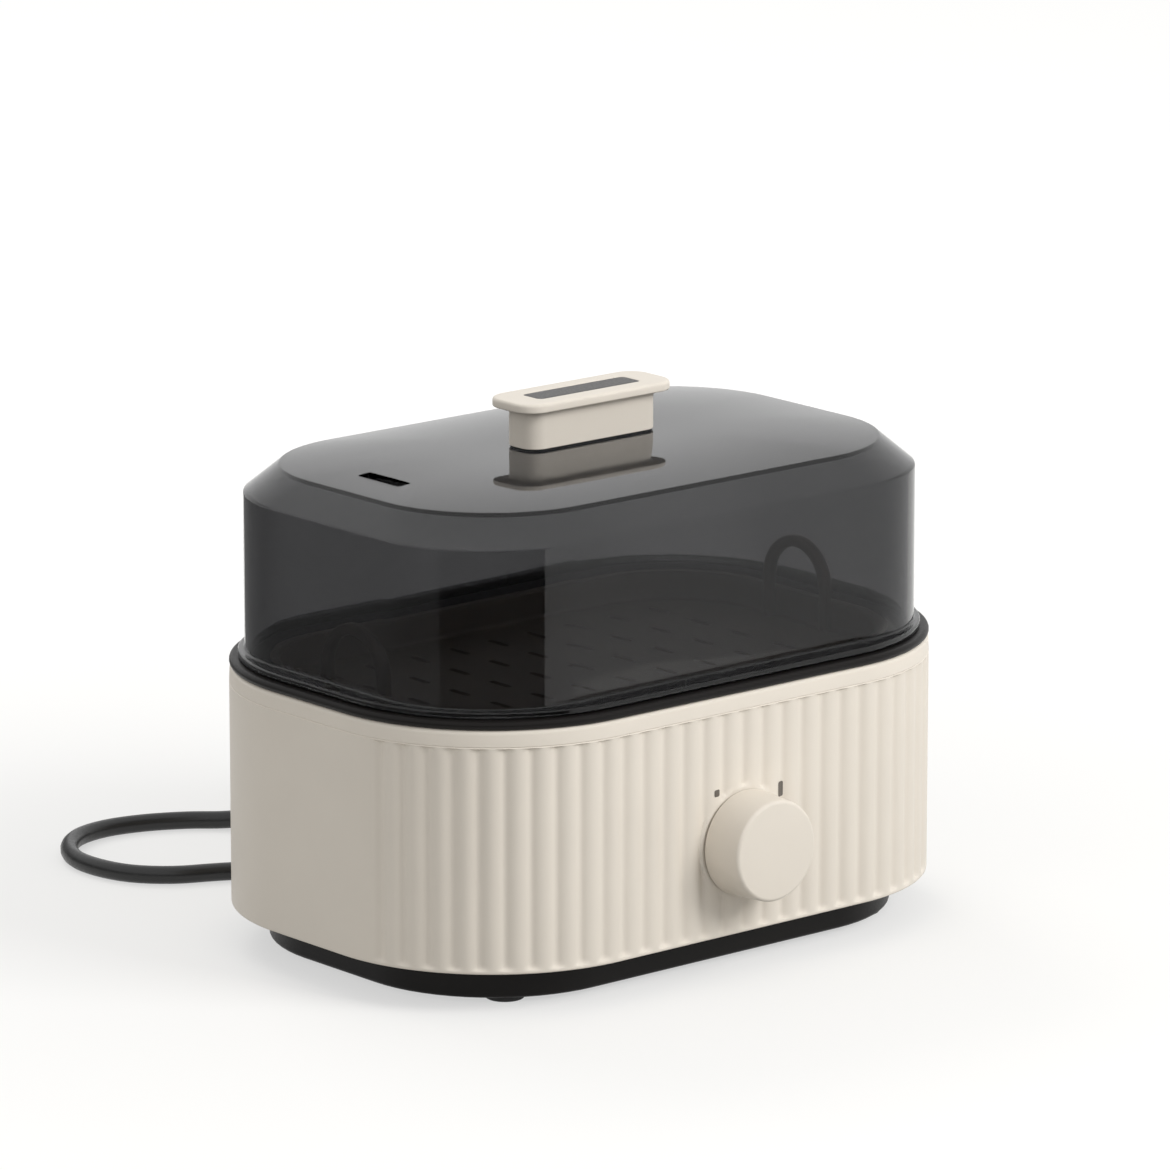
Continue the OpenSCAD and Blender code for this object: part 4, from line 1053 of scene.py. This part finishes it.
class CookerBase(bpy.types.Operator):
    """Base pan with its vents, rubber feet and base screws"""

    bl_idname = "cooker.base"
    bl_label = "Base"

    # How far the pan stands in from the casing, and how far its flange reaches out again
    PAN_IN, FLANGE_OUT, FLANGE_HEIGHT = 12.8, 9.4, 2.6
    # A vent's width, depth and corner, the distance between vents, and their place in depth
    VENT, VENT_PITCH, VENT_Y = (3, 26, 1.49), 9, -35.6
    SCREW_HEAD, SCREW_SHANK = 3.4, 1.4
    # One half of a cross recess's outline, and how each screw happens to stand, in radians
    CROSS = [(0.45, 1.7), (0.45, 0.45), (1.7, 0.45), (1.7, -0.45), (0.45, -0.45), (0.45, -1.7)]
    SCREW_TURNS = [0.3, 1.1, 0.7, 0.1]

    def execute(self, context):
        self.pan()
        self.feet()
        self.screws()
        return {"FINISHED"}

    def four(self, x, y, z):
        """A spot at each corner."""
        return [(i * x, j * y, z) for i in (-1, 1) for j in (-1, 1)]

    def pan(self):
        """A shallow pan with a flange under the casing and a row of vents."""
        form = [side - 2 * self.PAN_IN for side in (CASING_W, CASING_D)]
        form.append(size("casing_radius") - self.PAN_IN)
        low, high, out = PAN_LOW.z, PAN_HIGH.z, self.FLANGE_OUT
        seat = high - self.FLANGE_HEIGHT
        profile = [(-12, low, 0), (0, low, 1.6), (0, seat, 1.2)]
        profile += [(out, seat, 0.4), (out, high, 0.4), (-12, high, 0)]
        black = black_polypropylene()
        pan = make_piece("base_pan_black", [carried(form, softened(profile, steps=6), 1, 16)], black)
        vent = bar("pan_vent_form", self.VENT, low - 1, low + 1.4, black)
        spots = [(self.VENT_PITCH * k, self.VENT_Y, 0) for k in range(-3, 4)]
        cut(pan, copies("pan_vents", vent, spots, black), black)
        settle(pan, "base", "black_plastic", "base_pan")

    def feet(self):
        """Four round feet with a hollow under each."""
        high = cad_box("rubber_feet")[1]
        radius, top = size("foot_radius"), PAN_LOW.z + 0.4
        profile = [(0, 0.5, 0), (radius - 2.4, 0.5, 0.3), (radius - 1.9, 0, 0.3)]
        profile += [(radius - 0.4, 0, 0.8), (radius, top, 0.2), (0, top, 0)]
        rings = lathe_rings(softened(profile, steps=4), (0, 0, 0), "Z", 40)
        form = make_piece("foot_form", [rings], moulded_rubber())
        feet = copies("feet", form, self.four(high.x - radius, high.y - radius, 0), moulded_rubber())
        settle(feet, "base", "black_rubber", "rubber_feet")

    def screws(self):
        """Cross-recessed heads under the casing's corners."""
        low, high = cad_box("base_screws")
        head, shank, tip = self.SCREW_HEAD, self.SCREW_SHANK, high.z - low.z
        profile = [(0, 0, 0), (head * 0.55, 0, 0.4), (head, 0.9, 0.3), (head, 1.8, 0)]
        profile += [(shank, 1.8, 0), (shank, tip, 0.4), (0, tip, 0)]
        rings = lathe_rings(softened(profile, steps=3), (0, 0, 0), "Z", 28)
        form = make_piece("screw_form", [rings], zinc_plate())
        cross = self.CROSS + [(-x, -y) for x, y in self.CROSS]
        rings = [[(x * share, y * share, z) for x, y in cross] for share, z in ((1, -0.5), (0.8, 1.1))]
        cut(form, make_piece("recess_form", [rings], zinc_plate()), zinc_plate())
        spots = self.four(high.x - head, high.y - head, low.z)
        screws = copies("base_screws_steel", form, spots, zinc_plate(), self.SCREW_TURNS)
        settle(screws, "base", "zinc_steel", "base_screws")


class CookerDish(bpy.types.Operator):
    """Pressed heating dish under the tray"""

    bl_idname = "cooker.dish"
    bl_label = "Heating dish"

    # Thickness of the sheet, and the least corner radius of the ring that is pressed into the floor
    SHEET, LEAST_CORNER = 1.2, 8

    def execute(self, context):
        # The thermostat is pressed against the underside of the floor, between two posts for its bracket
        bottom, top = cad_box("thermostat")[1].z, DISH_HIGH.z
        sheet, floor, under = self.SHEET, bottom + self.SHEET, top - self.SHEET
        flange_w, flange_d = DISH_HIGH.x - DISH_LOW.x, DISH_HIGH.y - DISH_LOW.y
        flange = (flange_w, flange_d, size("casing_radius") - (CASING_W - flange_w) / 2)
        outside = [(-14, bottom, 0), (sheet, bottom, 5), (sheet, under, 0.4), (4, under, 0)]
        edge = [(4, under, 0), (0, under, 0.4), (0, top, 0.4), (4, top, 0)]
        inside = [(4, top, 0), (0, top, 0.8), (0, floor, 4), (-14, floor, 0)]
        # A shallow pressed ring in the floor, as such dishes have to gather the last water
        step = [(-20, floor, 0), (-34, floor, 1.5), (-35.5, floor + 0.5, 1.5), (-40, floor + 0.5, 0)]
        rings = carried(ring_opening(), softened(outside, steps=6))
        rings += carried(flange, softened(edge, steps=3), -1)
        rings += carried(ring_opening(), softened(inside, steps=6))
        rings += carried(ring_opening(), softened(step, steps=4), least=self.LEAST_CORNER)
        dish = make_piece("dish_coated", [rings, *self.posts(floor - 0.4)], coated_aluminium())
        settle(dish, "base", "coated_aluminium", "heating_dish")
        return {"FINISHED"}

    def posts(self, top):
        """Two round posts under the floor, one for each screw of the thermostat's bracket."""
        low, high = cad_box("bracket_screws")
        head = (high.y - low.y) / 2
        radius, foot = head + 0.2, DISH_LOW.z
        profile = softened([(0, foot, 0), (radius, foot, 0.4), (radius, top, 0), (0, top, 0)])
        return [lathe_rings(profile, (x, 0, 0), "Z", 24) for x in (low.x + head, high.x - head)]


class CookerTray(bpy.types.Operator):
    """Slotted egg tray with its two finger loops"""

    bl_idname = "cooker.tray"
    bl_label = "Egg tray"

    # How far the rim reaches over the ring and out from the tray's wall, and the slots each way of the middle
    RIM_OVER, RIM_OUT = 2.5, 3.8
    SLOTS_X, SLOTS_Y = 4, 2
    LOOP_CORNER, LOOP_STEPS = 1.3, 24

    def execute(self, context):
        wall, out, low = size("tray_wall"), self.RIM_OUT, TRAY_LOW.z
        floor = low + wall
        top = floor + size("tray_depth")
        rim_w, rim_d = TRAY_HIGH.x - TRAY_LOW.x, TRAY_HIGH.y - TRAY_LOW.y
        corner = size("opening_radius") + self.RIM_OVER - out
        profile = [(-9, low, 0), (0, low, 2.2), (0, top - wall, 0.3), (out, top - wall, 0.5)]
        profile += [(out, top, 0.8), (-wall, top, 0.9), (-wall, floor, 1.6), (-9, floor, 0)]
        rings = carried((rim_w - 2 * out, rim_d - 2 * out, corner), softened(profile), 1, 18)
        brown = tray_polypropylene()
        tray = make_piece("tray_moulded", [rings], brown)
        width, pitch_x, pitch_y = size("slot_width"), size("slot_pitch_x"), size("slot_pitch_y")
        form = (width, size("slot_length"), width / 2 - 0.01)
        slot = bar("slot_form", form, low - 1, floor + 1, brown)
        columns, rows = range(-self.SLOTS_X, self.SLOTS_X + 1), range(-self.SLOTS_Y, self.SLOTS_Y + 1)
        spots = [(pitch_x * i, pitch_y * j, 0) for i in columns for j in rows]
        cut(tray, copies("tray_slots", slot, spots, brown), brown)
        self.loops(tray)
        settle(tray, "tray", "tray_plastic", "egg_tray")
        return {"FINISHED"}

    def loops(self, tray):
        """Two arched loops that stand on the tray's floor at its ends, joined into its mesh."""
        band = size("loop_band")
        middle = size("loop_radius") - band / 2
        crown = TRAY_HIGH.z - size("loop_radius")
        foot = TRAY_LOW.z + size("tray_wall") - 0.6
        legs = (foot, foot + 4, crown - 4)
        path = [(-middle, z) for z in legs]
        for k in range(self.LOOP_STEPS + 1):
            a = math.pi * k / self.LOOP_STEPS
            path.append((-middle * math.cos(a), crown + middle * math.sin(a)))
        path += [(middle, z) for z in reversed(legs)]
        section = [(u, v) for u, v, _ in outline(band, band, self.LOOP_CORNER, 0, 5)]
        bm = bmesh.new()
        bm.from_mesh(tray.data)
        for x in (-size("loop_place"), size("loop_place")):
            rows = skin(bm, sweep_rings([(x, *spot) for spot in path], section, (1, 0, 0)), False)
            faces = {face for row in rows for vert in row for face in vert.link_faces}
            bmesh.ops.recalc_face_normals(bm, faces=list(faces))
        bm.to_mesh(tray.data)
        bm.free()
        dress(tray.data, tray_polypropylene())


class CookerLid(bpy.types.Operator):
    """Smoked clear lid with its chamfer, crown and steam vent"""

    bl_idname = "cooker.lid"
    bl_label = "Lid"

    SHARP_OVER = 60
    CORNER_STEPS, CROWN_STEPS = 22, 16
    # The crown's flat under the handle, how the crown bends, and its first slope as (in, up)
    FLAT, BEND, SLOPE = (75, 24, 10), 2.4, (9, 0.75)
    # Heights over the foot and over the flange where the wall starts, and the vent's cut
    FOOT, FILLET = 0.8, 1.2
    VENT_CORNER, VENT_LOW, VENT_HIGH = 1.2, 158, 180

    def wall_form(self):
        """Width, depth and corner radius of the lid's wall, which stands in from the casing's face."""
        width, depth = CASING_W - 2 * size("lid_ends"), CASING_D - 2 * size("lid_sides")
        return width, depth, size("lid_radius")

    def surface(self, sink, foot):
        """Rings from the foot over the chamfer to the crown's flat, sunk inwards by the wall."""
        width, depth, radius = self.wall_form()
        shoulder = LID_LOW.z + size("chamfer_low")
        edge = shoulder + size("chamfer_rise")
        lean = size("chamfer_in")
        slope = math.atan2(size("chamfer_rise"), lean)
        # Where two offset faces meet: wall with chamfer, chamfer with crown
        drop_low = sink * math.tan((math.pi / 2 - slope) / 2)
        lean_top = lean + sink * math.tan(slope / 2)
        low_edge, top_edge = (1.2, 0.8) if sink == 0 else (0.4, 0.4)
        crown_in, crown_up = self.SLOPE
        corners = [
            (sink, foot, 0),
            (sink, shoulder - drop_low, low_edge),
            (lean_top, edge - sink, top_edge),
            (lean_top + crown_in, edge - sink + crown_up, 0),
        ]
        rings = []
        for inset, z in softened(corners, steps=6)[:-1]:
            # The chamfer keeps nearly the wall's corner radius, so its corners lean in further
            share = min((inset - sink) / (lean_top - sink), 1)
            corner = radius - inset + share * (lean - size("top_corner_in"))
            start = (width - 2 * inset, depth - 2 * inset, corner)
            rings.append(outline(*start, z, self.CORNER_STEPS))
        rise = LID_HIGH.z - sink - z
        for k in range(1, self.CROWN_STEPS + 1):
            t = k / self.CROWN_STEPS
            form = [a + (b - a) * t for a, b in zip(start, self.FLAT)]
            rings.append(outline(*form, z + rise * (1 - (1 - t) ** self.BEND), self.CORNER_STEPS))
        return rings

    def foot(self, low, top):
        """Rings from the wall's inner face under the foot, round the flange and up to the wall."""
        wall, form, steps = size("lid_wall"), self.wall_form(), self.CORNER_STEPS
        flange_w, flange_d = LID_HIGH.x - LID_LOW.x, LID_HIGH.y - LID_LOW.y
        flange = (flange_w, flange_d, size("casing_radius") - size("flange_in"))
        under = softened([(wall, low + self.FOOT, 0), (wall, low, 0.5), (0, low, 0)], steps=4)
        edge = softened([(1, low, 0), (0, low, 0.4), (0, top, 0.7), (1, top, 0)])
        fillet = softened([(-1, top, 0), (0, top, 0.6), (0, top + self.FILLET, 0)], steps=4)
        rings = carried(form, under[1:-1], -1, steps)
        rings += carried(flange, edge, -1, steps)
        return rings + carried(form, fillet[1:-1], -1, steps)

    def execute(self, context):
        low = LID_LOW.z
        top = low + size("flange_height")
        inner = self.surface(size("lid_wall"), low + self.FOOT)
        rings = inner[::-1] + self.foot(low, top) + self.surface(0, top + self.FILLET)
        clear = smoked_polycarbonate()
        lid = make_piece("lid_smoked", [rings], clear, self.SHARP_OVER)
        form = (size("vent_width"), size("vent_length"), self.VENT_CORNER)
        vent = bar("vent_form", form, self.VENT_LOW, self.VENT_HIGH, clear, -size("vent_place"))
        cut(lid, vent, clear, self.SHARP_OVER)
        settle(lid, "lid", "smoked_clear", "lid_shell")
        return {"FINISHED"}


class CookerHandle(bpy.types.Operator):
    """Cream lid handle and its plain inlay"""

    bl_idname = "cooker.handle"
    bl_label = "Lid handle"

    SHARP_OVER = 45
    CORNER_STEPS = 10
    STEM_CORNER, CAP_CORNER, INLAY_CORNER = 6, 8, 2
    # The inlay's recess, the gap round it and how far its face stays below the cap's
    SUNK, GAP, BELOW = 0.6, 0.12, 0.06

    def execute(self, context):
        low, high, steps = HANDLE_LOW.z, HANDLE_HIGH.z, self.CORNER_STEPS
        ledge, floor, face = high - size("cap_height"), high - self.SUNK, high - self.BELOW
        stem = (size("stem_width"), size("stem_depth"), self.STEM_CORNER)
        cap = (HANDLE_HIGH.x - HANDLE_LOW.x, HANDLE_HIGH.y - HANDLE_LOW.y, self.CAP_CORNER)
        recess = (size("inlay_width"), size("inlay_depth"), self.INLAY_CORNER)
        side = [(-3, low, 0), (0, low, 0.4), (0, ledge, 2.4), (4, ledge, 0)]
        edge = [(1.2, ledge, 0), (0, ledge, 0.6), (0, high, 1.1), (3, high, 0)]
        hollow = [(1.5, high, 0), (0, high, 0.25), (0, floor, 0), (-1, floor, 0)]
        rings = carried(stem, softened(side, steps=6)[:-1], 1, steps)
        rings += carried(cap, softened(edge, steps=6), -1, steps)
        rings += carried(recess, softened(hollow, steps=4), 1, steps)
        handle = make_piece("handle_cream", [rings], cream_polypropylene(), self.SHARP_OVER)
        settle(handle, "lid", "cream_plastic", "lid_handle")

        plate = [(1, floor, 0), (self.GAP, floor, 0), (self.GAP, face, 0.2), (1.5, face, 0)]
        rings = carried(recess, softened(plate, steps=4), -1, steps, 0.4)
        inlay = make_piece("handle_inlay_plain", [rings], inlay_acrylic(), self.SHARP_OVER)
        settle(inlay, "lid", "black_plastic", "handle_inlay")
        return {"FINISHED"}


class CookerKnob(bpy.types.Operator):
    """Timer knob and the printed marks round it"""

    bl_idname = "cooker.knob"
    bl_label = "Knob and marks"

    # Marks: their middle across and up from the knob's axis, their width and their height, in mm
    MARKS = [(16.8, 15.2, 2.6, 5.2), (-12.1, 18.8, 2.6, 2.4)]
    # Rings in a mark, how far its ink stands off the wall, and how much of the depth a valley reaches
    MARK_RINGS, INK, VALLEY = 6, 0.08, 0.97

    def execute(self, context):
        back, front = KNOB_HIGH.y, KNOB_LOW.y
        z = (KNOB_LOW.z + KNOB_HIGH.z) / 2
        wide = (KNOB_HIGH.z - KNOB_LOW.z) / 2
        corners = [
            (wide - 4, back - 3, 0),
            (wide - 2, back, 0.3),
            (wide, back, 0.5),
            (wide - 1, front, size("knob_edge")),
            (5, front, 0),
            (0, front + 0.12, 0),
        ]
        profile = [(0, back - 3)] + softened(corners, steps=8)
        knob = make_piece("knob_cream", [lathe_rings(profile, (0, 0, z), "Y", 72)], cream_polypropylene())
        settle(knob, "knob", "cream_plastic", "control_knob")
        self.marks(z)
        return {"FINISHED"}

    def marks(self, z):
        """Ink that lies on the fluted wall."""
        pitch, rib = size("flute_pitch"), size("rib_width")
        bm = bmesh.new()
        for x, up, width, height in self.MARKS:
            mark = outline(width, height, min(width, height) / 4, 0, 6)
            rows = []
            for k in range(self.MARK_RINGS):
                share = 1 - k / self.MARK_RINGS
                row = []
                for u, v, _ in mark:
                    across = x + u * share
                    from_crest = (across / pitch % 1 - 0.5) * pitch / rib
                    sink = size("flute_depth") * min(4 * from_crest**2, self.VALLEY)
                    row.append((across, CASING_LOW.y + sink - self.INK, z + up + v * share))
                rows.append(row)
            skin(bm, rows, False, (-1,))
        bmesh.ops.remove_doubles(bm, verts=bm.verts, dist=1e-7)
        for face in bm.faces:
            face.normal_update()
            if face.normal.y > 0:
                face.normal_flip()
        marks = show("dial_marks", kept_mesh(bm, "dial_marks"), pad_ink())
        settle(marks, "base", "black_plastic")


class CookerWorks(bpy.types.Operator):
    """Finishes for the CAD pieces inside the casing"""

    bl_idname = "cooker.works"
    bl_label = "Inner works"

    def execute(self, context):
        screws = ["dish_screws", "bracket_screws", "terminal_screw", "clamp_screws", "handle_screws"]
        blocks = ["thermostat", "thermal_fuse", "fuse_block", "timer_housing", "terminal_block"]
        finishes = {
            grey_silicone: ["dish_seal"],
            heater_steel: ["heating_element", "sensor_bracket"],
            zinc_plate: [*screws, "element_terminals", "panel_nut", "control_spindle"],
            fired_ceramic: blocks,
            black_polypropylene: ["cord_clamp"],
            moulded_rubber: ["handle_gasket"],
            cord_pvc: ["inner_lead"],
            brown_pvc: ["live_wire", "switched_wire"],
            blue_pvc: ["neutral_wire"],
        }
        for material, names in finishes.items():
            for name in names:
                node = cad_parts[name]
                node.data.materials.clear()
                node.data.materials.append(material())
        return {"FINISHED"}


class CookerPanel(bpy.types.Panel):
    """Lists the cooker's sizes, colours and pieces"""

    bl_idname = "VIEW3D_PT_egg_cooker"
    bl_label = "Egg cooker"
    bl_space_type = "VIEW_3D"
    bl_region_type = "UI"
    bl_category = "Egg cooker"

    def draw(self, context):
        for operator in OPERATORS:
            self.layout.operator(operator.bl_idname)
        for group in (context.scene.cooker_sizes, context.scene.cooker_colours):
            box = self.layout.box()
            for name in group.__annotations__:
                box.prop(group, name)


OPERATORS = (
    CookerStage,
    CookerLead,
    CookerCasing,
    CookerRing,
    CookerBase,
    CookerDish,
    CookerTray,
    CookerLid,
    CookerHandle,
    CookerKnob,
    CookerWorks,
)
CLASSES = (CookerSizes, CookerColours, *OPERATORS, CookerPanel)


def register():
    for kind in CLASSES:
        bpy.utils.register_class(kind)
    bpy.types.Scene.cooker_sizes = bpy.props.PointerProperty(type=CookerSizes)
    bpy.types.Scene.cooker_colours = bpy.props.PointerProperty(type=CookerColours)


def unregister():
    del bpy.types.Scene.cooker_colours
    del bpy.types.Scene.cooker_sizes
    for kind in reversed(CLASSES):
        bpy.utils.unregister_class(kind)


def main():
    register()
    bpy.ops.cooker.stage()
    bpy.ops.cooker.lead()
    bpy.ops.cooker.casing()
    bpy.ops.cooker.ring()
    bpy.ops.cooker.base()
    bpy.ops.cooker.dish()
    bpy.ops.cooker.tray()
    bpy.ops.cooker.lid()
    bpy.ops.cooker.handle()
    bpy.ops.cooker.knob()
    bpy.ops.cooker.works()


if __name__ == "__main__":
    main()
